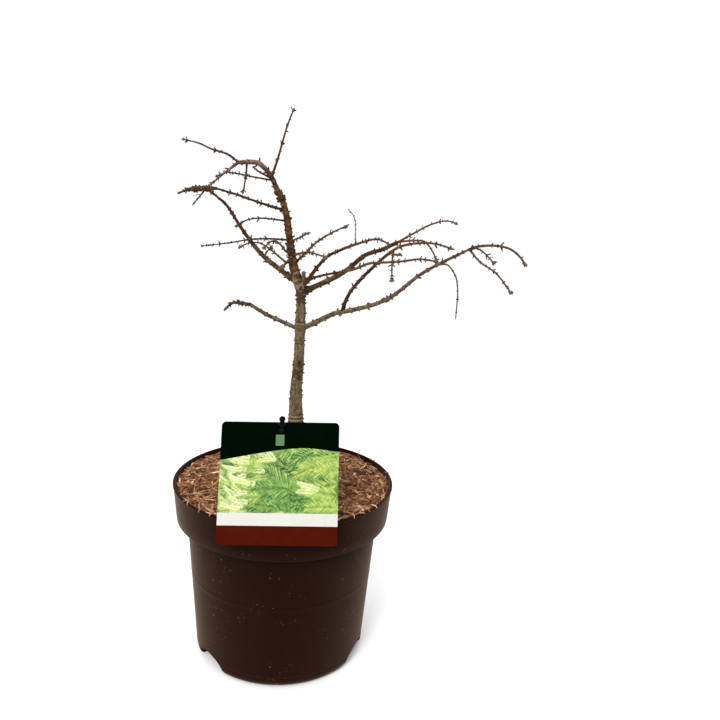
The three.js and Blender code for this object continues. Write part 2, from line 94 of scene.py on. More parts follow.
class Draw:
    """The seeded random draws of the CAD source, so that both make the same spurs."""

    def __init__(self, seed: int) -> None:
        """Starts the draws at a seed."""
        self.state = seed

    def __call__(self) -> float:
        """Returns the next draw, from 0 to 1."""
        self.state = (self.state + 0x6D2B79F5) & WORD
        t = ((self.state ^ (self.state >> 15)) * (1 | self.state)) & WORD
        t = ((t + ((t ^ (t >> 7)) * (61 | t))) & WORD) ^ t
        return ((t ^ (t >> 14)) & WORD) / (WORD + 1)


def unit(vector: Array) -> Array:
    """Returns vectors at length 1, along the last axis."""
    return vector / np.maximum(np.linalg.norm(vector, axis=-1, keepdims=True), 1e-12)


def swell(offset: Array, width: float) -> Array:
    """Returns a smooth bump of height 1 and of the given half width."""
    return np.exp(-((offset / width) ** 2))


def level(turn: float) -> Array:
    """Returns the level direction at a turn from the X axis, in radians."""
    return np.array([math.cos(turn), math.sin(turn), 0.0])


def circle(sides: int, turn: float = 0.0) -> tuple[Array, Array]:
    """Returns the cosines and the sines of even steps round a circle, from a first turn."""
    angles = turn + 2 * np.pi * np.arange(sides) / sides
    return np.cos(angles), np.sin(angles)


def lattice(cells: Array, seed: int) -> Array:
    """Gives each lattice cell its own value.

    Args:
        cells: Whole numbers, three to a row.
        seed: Picks another set of values.

    Returns:
        One value from -1 to 1 for each row.
    """
    mixed = (cells[..., 0] * 73856093) ^ (cells[..., 1] * 19349663) ^ (cells[..., 2] * 83492791)
    mixed = (mixed ^ (seed * 40503 + 977)) & WORD
    mixed = ((mixed ^ (mixed >> 13)) * 1274126177) & WORD
    mixed = ((mixed ^ (mixed >> 16)) * 668265263) & WORD
    return ((mixed ^ (mixed >> 15)) & 0xFFFFFF) / 0x7FFFFF - 1.0


def noise(points: Array, seed: int) -> Array:
    """Smooth noise over space.

    Args:
        points: Places, three numbers to a row, where 1 is one bump's width.
        seed: Picks another noise.

    Returns:
        One value from about -1 to 1 for each place.
    """
    base = np.floor(points).astype(np.int64)
    part = points - base
    ease = part * part * (3 - 2 * part)
    total = np.zeros(points.shape[:-1])
    for corner in range(8):
        step = np.array([corner & 1, corner >> 1 & 1, corner >> 2 & 1])
        total += np.where(step == 1, ease, 1 - ease).prod(axis=-1) * lattice(base + step, seed)
    return total


# ---- meshes ----


def rings_of(rows: int, sides: int) -> Array:
    """Returns the quads that join rows of points into a tube."""
    i, j = np.meshgrid(np.arange(rows - 1), np.arange(sides), indexing="ij")
    a, b = i * sides + j, i * sides + (j + 1) % sides
    return np.stack([a, b, b + sides, a + sides], axis=-1).reshape(-1, 4)


def tube_faces(rows: int, sides: int) -> list[Array]:
    """Returns the faces of a tube that is closed by one more point at each end.

    Args:
        rows: How many rings it has.
        sides: How many points go round.

    Returns:
        Its quads, and the triangles of its ends.
    """
    j = np.arange(sides)
    step, last, foot = (j + 1) % sides, (rows - 1) * sides, np.full(sides, rows * sides)
    ends = [np.stack([foot, step, j], axis=-1), np.stack([foot + 1, last + j, last + step], axis=-1)]
    return [rings_of(rows, sides), np.concatenate(ends)]


def prism_faces(rows: int, sides: int) -> list[Array]:
    """Returns the faces of a stack of outlines that is closed flat at both ends."""
    last = (rows - 1) * sides
    return [rings_of(rows, sides), np.arange(sides)[None, ::-1], np.arange(last, last + sides)[None]]


def tube_points(centres: Array, radii: Array, sides: int, turn: float = 0.0) -> Array:
    """Points of a tube, whose sides are carried along a line without twisting.

    Args:
        centres: The line's points.
        radii: One radius for each point, or one for each point and side.
        sides: How many points go round.
        turn: Where the first side is, in radians.

    Returns:
        The points, ring by ring, and then the two end points.
    """
    tangents = unit(np.gradient(centres, axis=0))
    side = np.cross(UP, tangents[0])
    side = EAST if np.linalg.norm(side) < 0.05 else side
    across = np.empty_like(tangents)
    for i, tangent in enumerate(tangents):
        side = side - tangent * (side @ tangent)
        side = across[i] = side / np.linalg.norm(side)
    x, y = circle(sides, turn)
    over = np.cross(tangents, across)
    spread = x[None, :, None] * across[:, None] + y[None, :, None] * over[:, None]
    shell = centres[:, None] + spread * radii.reshape(len(radii), -1)[..., None]
    return np.concatenate([shell.reshape(-1, 3), centres[:1], centres[-1:]])


@dataclass
class Batch:
    """Surfaces that are gathered and then made into one mesh.

    Attributes:
        places: Each surface's points, in millimetres.
        faces: Each surface's faces, as rows of indices of its points.
        shades: Each surface's value from 0 to 1 at each point, which its material reads.
        count: How many points there are.
    """

    places: list[Array] = field(default_factory=list)
    faces: list[Array] = field(default_factory=list)
    shades: list[Array] = field(default_factory=list)
    count: int = 0

    def add(self, places: Array, faces: Iterable[Array], shade: Array | float = 0.5) -> None:
        """Adds a surface.

        Args:
            places: Points, three numbers to a row.
            faces: Arrays of faces, whose indices count from this surface's first point.
            shade: One value for all the points, or one each.
        """
        self.places.append(places)
        self.faces += [block + self.count for block in faces]
        self.shades.append(np.broadcast_to(np.asarray(shade, float), (len(places),)))
        self.count += len(places)

    def tube(
        self, centres: Array, radii: Array, sides: int, shade: Array | float = 0.5, turn: float = 0.0
    ) -> None:
        """Adds a closed tube along a line, with a radius for each of its points."""
        self.add(tube_points(centres, radii, sides, turn), tube_faces(len(centres), sides), shade)

    def make(self, name: str, smooth: float | None = 60.0) -> Piece:
        """Makes the mesh object.

        Args:
            name: The piece's name.
            smooth: Edges sharper than this many degrees stay sharp; None keeps every face flat.

        Returns:
            The new object, linked to the scene.
        """
        mesh = bpy.data.meshes.new(name)
        rows = [row for block in self.faces for row in block.tolist()]
        mesh.from_pydata((np.concatenate(self.places) * MM).tolist(), [], rows)
        layer = mesh.attributes.new("shade", "FLOAT", "POINT")
        layer.data.foreach_set("value", np.concatenate(self.shades).astype(np.float32))
        mesh.update()
        if smooth is not None:
            mesh.shade_smooth()
            mesh.set_sharp_from_angle(angle=math.radians(smooth))
        piece = bpy.data.objects.new(name, mesh)
        bpy.context.scene.collection.objects.link(piece)
        return piece


def section(places: Array, shade: Array, sides: int, low: int, high: int) -> Surface:
    """Cuts a length out of a tube and closes it.

    Args:
        places: The tube's points.
        shade: The value at each of them.
        sides: How many points go round.
        low: The first ring that it keeps.
        high: The last ring that it keeps.

    Returns:
        Points, faces and the shade at each point.
    """
    kept = slice(low * sides, (high + 1) * sides)
    ends = places[kept].reshape(-1, sides, 3)[[0, -1]].mean(axis=1)
    faces = tube_faces(high + 1 - low, sides)
    return np.concatenate([places[kept], ends]), faces, np.concatenate([shade[kept], END_SHADES])


def turned(profile: Profile, sides: int) -> Batch:
    """Turns a profile about the Z axis.

    Args:
        profile: Radius and height of each point; the first and last lie on the axis.
        sides: How many points go round.

    Returns:
        A batch with the closed surface.
    """
    ring, (x, y) = np.array(profile[1:-1]), circle(sides)
    heights = np.broadcast_to(ring[:, 1:], (len(ring), sides))
    shell = np.stack([ring[:, :1] * x, ring[:, :1] * y, heights], axis=-1).reshape(-1, 3)
    axis = [[0, 0, profile[0][1]], [0, 0, profile[-1][1]]]
    batch = Batch()
    batch.add(np.concatenate([shell, axis]), tube_faces(len(ring), sides))
    return batch


# ---- shader groups ----


class Graph:
    """A node tree while it is wired, for a material or a shader group."""

    def __init__(self, tree: Tree) -> None:
        """Wraps a node tree."""
        self.tree = tree

    def feed(self, node: Node, given: Given) -> None:
        """Links a node's inputs to sockets, or sets them where the source is a plain value.

        Args:
            node: The node.
            given: Sockets or values, by the name or the index of the input.
        """
        for name, source in given.items():
            if isinstance(source, Socket):
                self.tree.links.new(source, node.inputs[name])
            else:
                node.inputs[name].default_value = source

    def add(self, kind: str, given: Given | None = None, **settings: object) -> Node:
        """Adds a node.

        Args:
            kind: The node's type name.
            given: Sockets or values for its inputs.
            **settings: Its properties.

        Returns:
            The node.
        """
        node = self.tree.nodes.new(kind)
        for name, value in settings.items():
            setattr(node, name, value)
        self.feed(node, given or {})
        return node

    def math(self, operation: str, a: object, b: object, clamp: bool = False) -> Socket:
        """Returns what Blender's operation of that name makes of two values or sockets."""
        return self.add("ShaderNodeMath", {0: a, 1: b}, operation=operation, use_clamp=clamp).outputs[0]

    def times(self, a: object, b: object) -> Socket:
        """Returns the product of two values or sockets."""
        return self.math("MULTIPLY", a, b)

    def mix(self, share: object, a: object, b: object) -> Socket:
        """Returns a mix of two colours, with that share of the second."""
        return self.add("ShaderNodeMix", {"Factor": share, 6: a, 7: b}, data_type="RGBA").outputs[2]

    def noise(self, place: Socket, scale: object, detail: float, rough: float = 0.55) -> Socket:
        """Returns noise from 0 to 1, with so many bumps in a metre and so many octaves."""
        given = {"Vector": place, "Scale": scale, "Detail": detail, "Roughness": rough}
        return self.add("ShaderNodeTexNoise", given).outputs["Fac"]

    def span(self, value: object, low: float, high: float, first: float = 0.0, last: float = 1.0) -> Socket:
        """Returns a value from the span of low to high, mapped smoothly to that of first to last."""
        given = dict(enumerate((value, low, high, first, last)))
        return self.add("ShaderNodeMapRange", given, interpolation_type="SMOOTHSTEP").outputs[0]

    def place(self) -> Socket:
        """Returns the object's own coordinates, in metres."""
        return self.add("ShaderNodeTexCoord").outputs["Object"]

    def use(self, group: Tree, **given: object) -> Outputs:
        """Places a shader group, with values or sockets for its inputs, and returns its outputs."""
        return self.add("ShaderNodeGroup", given, node_tree=group).outputs


COLOURS = ("Base", "Cloud", "Speck", "Color", "Hollow", "Ridge", "Dust")
Wiring = Callable[[Graph, Outputs], Given]


def shader_group(takes: str, gives: str) -> Callable[[Wiring], Callable[[], Tree]]:
    """Turns wiring into a function that returns its shader group, built once.

    Args:
        takes: The names of the inputs.
        gives: The names of the outputs.

    Returns:
        What turns the wiring.
    """

    def named(wire: Wiring) -> Callable[[], Tree]:
        """Returns the function for one wiring, whose name the group takes."""

        def group() -> Tree:
            """Returns the group, which the first call builds."""
            if wire.__name__ in bpy.data.node_groups:
                return bpy.data.node_groups[wire.__name__]
            tree = bpy.data.node_groups.new(wire.__name__, "ShaderNodeTree")
            for way, titles in (("INPUT", takes), ("OUTPUT", gives)):
                for title in titles.split():
                    kind = "NodeSocketColor" if title in COLOURS else "NodeSocketFloat"
                    tree.interface.new_socket(title, in_out=way, socket_type=kind)
            graph = Graph(tree)
            graph.add("NodeGroupOutput", wire(graph, graph.add("NodeGroupInput").outputs))
            return tree

        return group

    return named


@shader_group("Base Cloud Speck Scale Amount Specks", "Color Mask")
def mottling(graph: Graph, given: Outputs) -> Given:
    """Clouds one colour with a second in two sizes, and specks it with a third.

    Args:
        graph: The group's graph.
        given: The group's inputs.

    Returns:
        The group's outputs.
    """
    place = graph.place()
    broad = graph.noise(place, given["Scale"], 2.0)
    fine = graph.noise(place, graph.times(given["Scale"], 6.0), 3.0, 0.65)
    cloud = graph.span(graph.math("ADD", graph.times(broad, 0.6), graph.times(fine, 0.4)), 0.4, 0.62)
    clouded = graph.mix(graph.times(cloud, given["Amount"]), given["Base"], given["Cloud"])
    grit = graph.noise(place, graph.times(given["Scale"], 17.0), 1.0)
    specks = graph.times(graph.span(grit, 0.64, 0.72), given["Specks"])
    return {"Color": graph.mix(specks, clouded, given["Speck"]), "Mask": cloud}


@shader_group("Color Hollow Ridge Depth", "Color Mask")
def crevices(graph: Graph, given: Outputs) -> Given:
    """Darkens hollows and lightens ridges by the mesh's shade: painted shade and highlight where it follows
    the relief.

    Args:
        graph: The group's graph.
        given: The group's inputs.

    Returns:
        The group's outputs.
    """
    shade = graph.add("ShaderNodeAttribute", attribute_name="shade").outputs["Fac"]
    low = graph.times(graph.span(shade, 0.05, 0.46, 1.0, 0.0), given["Depth"])
    high = graph.times(graph.span(shade, 0.55, 0.95), given["Depth"])
    dark = graph.mix(low, given["Color"], given["Hollow"])
    return {"Color": graph.mix(high, dark, given["Ridge"]), "Mask": shade}


@shader_group("Scale Roughness Swing", "Height Roughness")
def grain(graph: Graph, given: Outputs) -> Given:
    """Gives fine surface grain: a height for bump and a change in roughness.

    Args:
        graph: The group's graph.
        given: The group's inputs.

    Returns:
        The group's outputs.
    """
    place = graph.place()
    coarse = graph.noise(place, given["Scale"], 2.0)
    fine = graph.noise(place, graph.times(given["Scale"], 4.3), 2.0, 0.7)
    height = graph.math("ADD", graph.times(coarse, 0.6), graph.times(fine, 0.4))
    swing = graph.times(graph.math("SUBTRACT", height, 0.5), given["Swing"])
    return {"Height": height, "Roughness": graph.math("ADD", given["Roughness"], swing, clamp=True)}


@shader_group("Color Dust Film Crumbs", "Color Mask")
def dusting(graph: Graph, given: Outputs) -> Given:
    """Lays a film of dust in soft patches and scattered crumbs on a colour.

    Args:
        graph: The group's graph.
        given: The group's inputs.

    Returns:
        The group's outputs.
    """
    place = graph.place()
    patch = graph.span(graph.noise(place, 26.0, 3.0, 0.6), 0.48, 0.72)
    crumb = graph.span(graph.noise(place, 420.0, 1.0), 0.7, 0.76)
    near = graph.span(graph.noise(place, 38.0, 2.0), 0.5, 0.62)
    crumbs = graph.times(graph.times(crumb, near), given["Crumbs"])
    mask = graph.math("MAXIMUM", graph.times(patch, given["Film"]), crumbs)
    return {"Color": graph.mix(mask, given["Color"], given["Dust"]), "Mask": mask}


# ---- finishes ----


@dataclass(frozen=True)
class Finish:
    """A clouded colour with painted shade in its hollows and painted highlight on its ridges, and a fine
    grain. Bark is made of it as it is.

    Attributes:
        name: The material's name.
        base: Its main colour.
        cloud: The colour that clouds it.
        hollow: The colour in its hollows, as painted shade where the mesh's shade follows the relief.
        ridge: The colour on its ridges, as a painted highlight where the mesh's shade follows the relief.
        speck: The colour of its specks.
        scale: Clouds in a metre.
        depth: How strongly the painted shade in hollows and highlight on ridges show.
        roughness: How dull it is.
        amount: How strong the clouds are.
        specks: How strong the specks are.
        fineness: Grains in a metre, or 0 for nine to a cloud.
        swing: How much the roughness changes.
        strength: How strong the grain's bump is.
        relief: How deep the bump is, in metres.
        gloss: How strongly it reflects.
    """

    name: str
    base: str
    cloud: str
    hollow: str
    ridge: str
    speck: str
    scale: float
    depth: float
    roughness: float = 0.8
    amount: float = 0.6
    specks: float = 0.4
    fineness: float = 0.0
    swing: float = 0.25
    strength: float = 0.5
    relief: float = 0.0004
    gloss: float = 0.12

    def relief_shade_and_dust(self, graph: Graph, colour: Socket, dull: Socket) -> Given:
        """Wires what is laid on the clouded colour: painted shade in its hollows and a painted highlight on
        its ridges.

        Args:
            graph: The material's graph.
            colour: The clouded colour.
            dull: The grain's roughness.

        Returns:
            The shader's inputs.
        """
        shades = {"Hollow": tone(self.hollow), "Ridge": tone(self.ridge), "Depth": self.depth}
        # The crevices group paints shade into the hollows and a highlight onto the ridges.
        return {"Base Color": graph.use(crevices(), Color=colour, **shades)["Color"], "Roughness": dull}

    def material(self) -> bpy.types.Material:
        """Returns the material, which the first call makes."""
        if self.name in bpy.data.materials:
            return bpy.data.materials[self.name]
        material = bpy.data.materials.new(self.name)
        material.use_nodes = True
        graph = Graph(material.node_tree)
        colours = {"Base": tone(self.base), "Cloud": tone(self.cloud), "Speck": tone(self.speck)}
        cloudy = graph.use(mottling(), **colours, Scale=self.scale, Amount=self.amount, Specks=self.specks)
        fineness = self.fineness or self.scale * 9
        fine = graph.use(grain(), Scale=fineness, Roughness=self.roughness, Swing=self.swing)
        given = {"Strength": self.strength, "Distance": self.relief, "Height": fine["Height"]}
        normal = graph.add("ShaderNodeBump", given).outputs["Normal"]
        # Painted relief shade and highlight, or for a plastic its dust and sheen.
        shade_and_dust = self.relief_shade_and_dust(graph, cloudy["Color"], fine["Roughness"])
        given = {"Normal": normal, "Specular IOR Level": self.gloss, **shade_and_dust}
        graph.feed(material.node_tree.nodes["Principled BSDF"], given)
        return material


@dataclass(frozen=True)
class Plastic(Finish):
    """Moulded plastic, with a little dust and edges that catch the light.

    Attributes:
        film: How much dust lies on it as a film.
        crumbs: How much dust lies on it as crumbs.
        sheen: How much its edges catch the light.
    """

    film: float = 0.0
    crumbs: float = 0.0
    sheen: float = 0.0

    def relief_shade_and_dust(self, graph: Graph, colour: Socket, dull: Socket) -> Given:
        """Wires what is laid on the clouded colour: dust, which also dulls it, and a sheen.

        Args:
            graph: The material's graph.
            colour: The clouded colour.
            dull: The grain's roughness.

        Returns:
            The shader's inputs.
        """
        dusty = graph.use(dusting(), Color=colour, Dust=tone("8b7560"), Film=self.film, Crumbs=self.crumbs)
        dull = graph.math("ADD", dull, graph.times(dusty["Mask"], 0.3), clamp=True)
        return {
            "Base Color": dusty["Color"], "Roughness": dull, "Sheen Weight": self.sheen,
            "Sheen Roughness": 0.45, "Sheen Tint": tone("ffd1a9"),
        }


def plastic(name: str, base: str, cloud: str, roughness: float, fineness: float, gloss: float,
            film: float, crumbs: float, sheen: float = 0.0) -> Plastic:
    """Returns a plastic, for which the values are those of its attributes."""
    return Plastic(name, base, cloud, cloud, cloud, cloud, 12.0, 0.0, roughness, 0.7, 0.2, fineness,
                   0.12, 0.25, 0.00008, gloss, film, crumbs, sheen)


def fibre(name: str, base: str, dark: str, light: str) -> Finish:
    """Returns shredded bark, with the colours of its darkest and its lightest shreds."""
    return Finish(name, base, dark, dark, light, light, 130.0, 1.0, 0.86, 0.55, 0.3, 1100.0,
                  0.2, 0.7, 0.0005, 0.25)


def ink(name: str, base: str, cloud: str, scale: float, amount: float, roughness: float = 0.3,
        gloss: float = 0.06) -> Finish:
    """Returns ink under a clear film, for which the values are those of its attributes."""
    return Finish(name, base, cloud, base, cloud, cloud, scale, 0.6, roughness, amount, 0.15, 500.0, 0.08,
                  0.06, 0.00005, gloss)


POT_PLASTIC = plastic("pot_brown_plastic", "190804", "160603", 0.42, 900.0, 0.01, 0.003, 0.5, 0.15)
STAKE_PLASTIC = plastic("stake_black_plastic", "050805", "030403", 0.35, 1400.0, 0.06, 0.02, 0.3)
CARD_PLASTIC = plastic("card_green_film", "061407", "0a1c0b", 0.3, 500.0, 0.1, 0.03, 0.1)
GROUND = fibre("ground_peat", "3a2114", "1c0f08", "5c3a26")
BUD_SCALES = Finish("tan_bud_scales", "5c4433", "402d22", "2c1a10", "80664b", "9d8262", 420.0, 0.8, 0.6,
                    1.0, 0.25, 1500.0, 0.2, 0.4, 0.0002, 0.5)
FLOOR = Finish("pale_floor", "fafafa", "f7f7f7", "fafafa", "fafafa", "fafafa", 3.0, 0.0, 0.8,
               0.5, 0.0, 60.0, 0.1, 0.0, 0.0001, 0.5)


class BarkTone(Enum):
    """The barks and twig skins of the tree, each a plain set of colours."""

    STEM = Finish("stem_bark", "6a5b44", "5b4b2e", "2b1604", "89795c", "a99e88", 120.0, 0.75)
    LEADER = Finish("leader_bark", "54361f", "442b16", "1b1008", "6b5535", "7c6a52", 130.0, 0.65)
    LOW_BOUGH = Finish("low_bough_bark", "615541", "514532", "25180e", "7f6e50", "8a7860", 130.0, 0.65)
    HIGH_BOUGH = Finish("high_bough_bark", "432612", "351d0c", "150a03", "5c3e23", "6c5a44", 130.0, 0.7)
    # The low boughs' olive bark, browner and darker; the darkening is painted shade of the fork.
    FORK_BOUGH = Finish("fork_bough_bark", "524027", "42311b", "180e06", "6f5b3b", "7a6850", 130.0, 0.7)
    YOUNG_BOUGH = Finish("young_bough_bark", "644837", "553b2d", "28170e", "7c6050", "83685a", 130.0, 0.65)
    ARCH = Finish("arch_bark", "7a5a51", "664e47", "2a1813", "81706a", "85766f", 140.0, 0.7)
    RUSSET = Finish("russet_twig", "5e4129", "4e341f", "241409", "795838", "82634e", 140.0, 0.6, 0.75)
    UMBER = Finish("umber_twig", "462e1e", "3b2617", "1c1007", "5c432b", "6a5040", 140.0, 0.6, 0.78)
    GREY = Finish("grey_twig", "5c5246", "4a4137", "2a241d", "7b7064", "8a8078", 140.0, 0.6, 0.8)
    SPUR = Finish("spur_bark", "402c18", "31200c", "160d06", "5c4429", "6f5740", 180.0, 0.7, 0.82)


class Shredded(Enum):
    """The colours of the shredded bark."""

    RUST = fibre("rust_shreds", "8c5732", "3f1f0c", "bb885e")
    TAN = fibre("tan_shreds", "ae7f57", "6b4224", "dab48e")
    UMBER = fibre("umber_shreds", "4f2b15", "241006", "7f5435")
    PALE = fibre("pale_shreds", "c9a17e", "8a6243", "ecd3ba")


class Ink(Enum):
    """The inks of the card's bands and of the sprays in its picture."""

    HEADER = ink("ink_header_green", "010802", "030a04", 30.0, 0.8, 0.26, 0.0)
    MEADOW = ink("ink_meadow_green", "4c6c30", "abc06e", 42.0, 1.0)
    WHITE = ink("ink_white", "c0c0b9", "b9b8b1", 30.0, 0.6)
    RUSSET = ink("ink_russet", "3e0f05", "451207", 30.0, 0.6, 0.26, 0.0)
    TAB = ink("ink_tab_green", "48693b", "547543", 60.0, 0.5)
    DEEP = ink("ink_deep_green", "204512", "386623", 200.0, 0.8)
    LEAF = ink("ink_leaf_green", "5b8437", "8db05a", 200.0, 0.8)
    LIME = ink("ink_lime", "93a544", "bcc46e", 200.0, 0.8)
    CREAM = ink("ink_cream_green", "d2daa8", "e7edca", 200.0, 0.8)


def finish_piece(piece: Piece, finish: Finish, slot: str, *nodes: str) -> Piece:
    """Gives a piece its material and body, and hides the solids that it stands for.

    Args:
        piece: The piece, in place.
        finish: What it is made of.
        slot: Not used.
        *nodes: The CAD nodes that it replaces.

    Returns:
        The piece.
    """
    piece.data.materials.clear()
    piece.data.materials.append(finish.material())
    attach(piece, "root")
    if nodes:
        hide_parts(*nodes)
    return piece


# ---- pot ----


@dataclass
class NurseryPot:
    """The tall-collared pot, a thin shell with three drain arches at its foot.

    Attributes are the CAD source's own sizes, in millimetres and degrees.
    """

    height: float = 209.0
    rim_radius: float = 126.5
    lip: float = 0.8
    lip_height: float = 3.5
    collar_foot: float = 166.0
    collar_foot_radius: float = 122.4
    wall_top_radius: float = 110.4
    wall_foot_radius: float = 99.4
    foot_height: float = 10.0
    underside_radius: float = 91.0
    wall: float = 2.5
    floor: float = 3.5
    notches: int = 3
    notch_heading: float = -18.5
    notch_width: float = 51.0
    notch_depth: float = 22.0
    notch_height: float = 19.0
    mould_ring: float = 101.0
    sides: int = 192
    corner_steps: int = 8
    arch_steps: int = 24

    def wall_radius(self, height: float) -> float:
        """Returns the outer wall's radius at a height under the collar."""
        share = (height - self.foot_height) / (self.collar_foot - self.foot_height)
        return self.wall_foot_radius + share * (self.wall_top_radius - self.wall_foot_radius)

    def outer(self) -> Profile:
        """Returns the outer profile, from the middle of the underside to the rim's outer edge."""
        ring, collar, edge, rim = self.mould_ring, self.collar_foot, self.collar_foot_radius, self.rim_radius
        lip_foot, reach = self.height - self.lip_height, self.wall_foot_radius - self.underside_radius
        turns = [math.pi / 2 * step / self.corner_steps for step in range(self.corner_steps + 1)]
        corner = [(reach * math.sin(t), self.foot_height * (1 - math.cos(t))) for t in turns]
        flare, tall = rim - self.lip - edge, lip_foot - collar
        return [
            (0.0, 0.0), *((self.underside_radius + out, up) for out, up in corner),
            (self.wall_radius(11.2) + 0.05, 11.2), (self.wall_radius(11.7) - 0.35, 11.7),
            *((self.wall_radius(z), z) for z in (12.6, 14, 40, 70, ring - 4, ring - 1.2)),
            (self.wall_radius(ring) + 0.22, ring),
            *((self.wall_radius(z), z) for z in (ring + 1.2, ring + 4, 130, 150, collar - 4, collar - 2.2)),
            (self.wall_top_radius + 0.5, collar - 0.5), (self.wall_top_radius + 2.2, collar),
            (edge - 1.6, collar), (edge - 0.5, collar + 0.35), (edge, collar + 1.4),
            *((edge + flare * share, collar + tall * share) for share in (0.33, 0.66, 1.0)),
            (rim - 0.2, lip_foot + 0.45), (rim, lip_foot + 1.1), (rim, self.height - 1.0),
            (rim - 0.35, self.height - 0.3),
        ]

    def inner(self) -> Profile:
        """Returns the inner profile, from the rim's top to the middle of the floor."""
        step, lip = self.collar_foot + self.wall, self.rim_radius - self.lip - self.wall
        return [
            (self.rim_radius - 1.1, self.height), (lip + 0.9, self.height), (lip + 0.2, self.height - 0.4),
            (lip, self.height - 1.2), (self.collar_foot_radius - self.wall, step),
            (self.wall_top_radius - self.wall, step), (self.wall_foot_radius - self.wall, self.foot_height),
            (self.underside_radius, self.floor), (0.0, self.floor),
        ]

    def arch(self, index: int, extra: float) -> Piece:
        """Makes an arched block that reaches in from the foot's edge.

        Args:
            index: Which drain arch.
            extra: How much larger it is than the arch itself.

        Returns:
            The block.
        """
        half, tall, below, past = self.notch_width / 2 + extra, self.notch_height + extra, -6.0, 20
        turns = [math.pi * i / self.arch_steps for i in range(self.arch_steps + 1)]
        rim = [(half, below), *((half * math.cos(t), tall * math.sin(t)) for t in turns), (-half, below)]
        heading = math.radians(self.notch_heading + 360 / self.notches * index)
        out, side = level(heading), np.array([-math.sin(heading), math.cos(heading), 0.0])
        flat = np.array([side * y + UP * z for y, z in rim])
        start = self.wall_foot_radius - self.notch_depth - extra
        stop = start + self.notch_depth + extra + past
        batch = Batch()
        batch.add(np.concatenate([flat + out * start, flat + out * stop]), prism_faces(2, len(rim)))
        block = batch.make("arch_cutter", None)
        block.data.validate()
        return block

    def cut(self, piece: Piece, tool: Piece, how: str) -> None:
        """Applies a boolean to a piece and removes the tool.

        Args:
            piece: What is changed.
            tool: The other mesh.
            how: UNION, DIFFERENCE or INTERSECT.
        """
        modifier = piece.modifiers.new("arch", "BOOLEAN")
        modifier.operation, modifier.solver, modifier.object = how, "EXACT", tool
        depsgraph = bpy.context.evaluated_depsgraph_get()
        mesh = bpy.data.meshes.new_from_object(piece.evaluated_get(depsgraph))
        piece.modifiers.clear()
        piece.data = mesh
        bpy.data.objects.remove(tool)

    def build(self) -> list[Piece]:
        """Builds and dresses the pot.

        Returns:
            The finished piece.
        """
        pot = turned([*self.outer(), *self.inner()], self.sides).make("nursery_pot", None)
        # The body is a hair smaller than the pot, because booleans fail on surfaces that coincide.
        hair = 0.12
        inside = [(max(0.0, radius - hair), max(hair, z)) for radius, z in self.outer()]
        for index in range(self.notches):
            housing = self.arch(index, self.wall)
            body = turned([*inside, (0.0, self.height - 0.3)], self.sides).make("pot_body", None)
            self.cut(housing, body, "INTERSECT")
            self.cut(pot, housing, "UNION")
            self.cut(pot, self.arch(index, 0.0), "DIFFERENCE")
        pot.data.name = "nursery_pot"
        pot.data.shade_smooth()
        pot.data.set_sharp_from_angle(angle=math.radians(35))
        return [finish_piece(pot, POT_PLASTIC, "pot_plastic", "pot")]


# ---- shredded bark ----


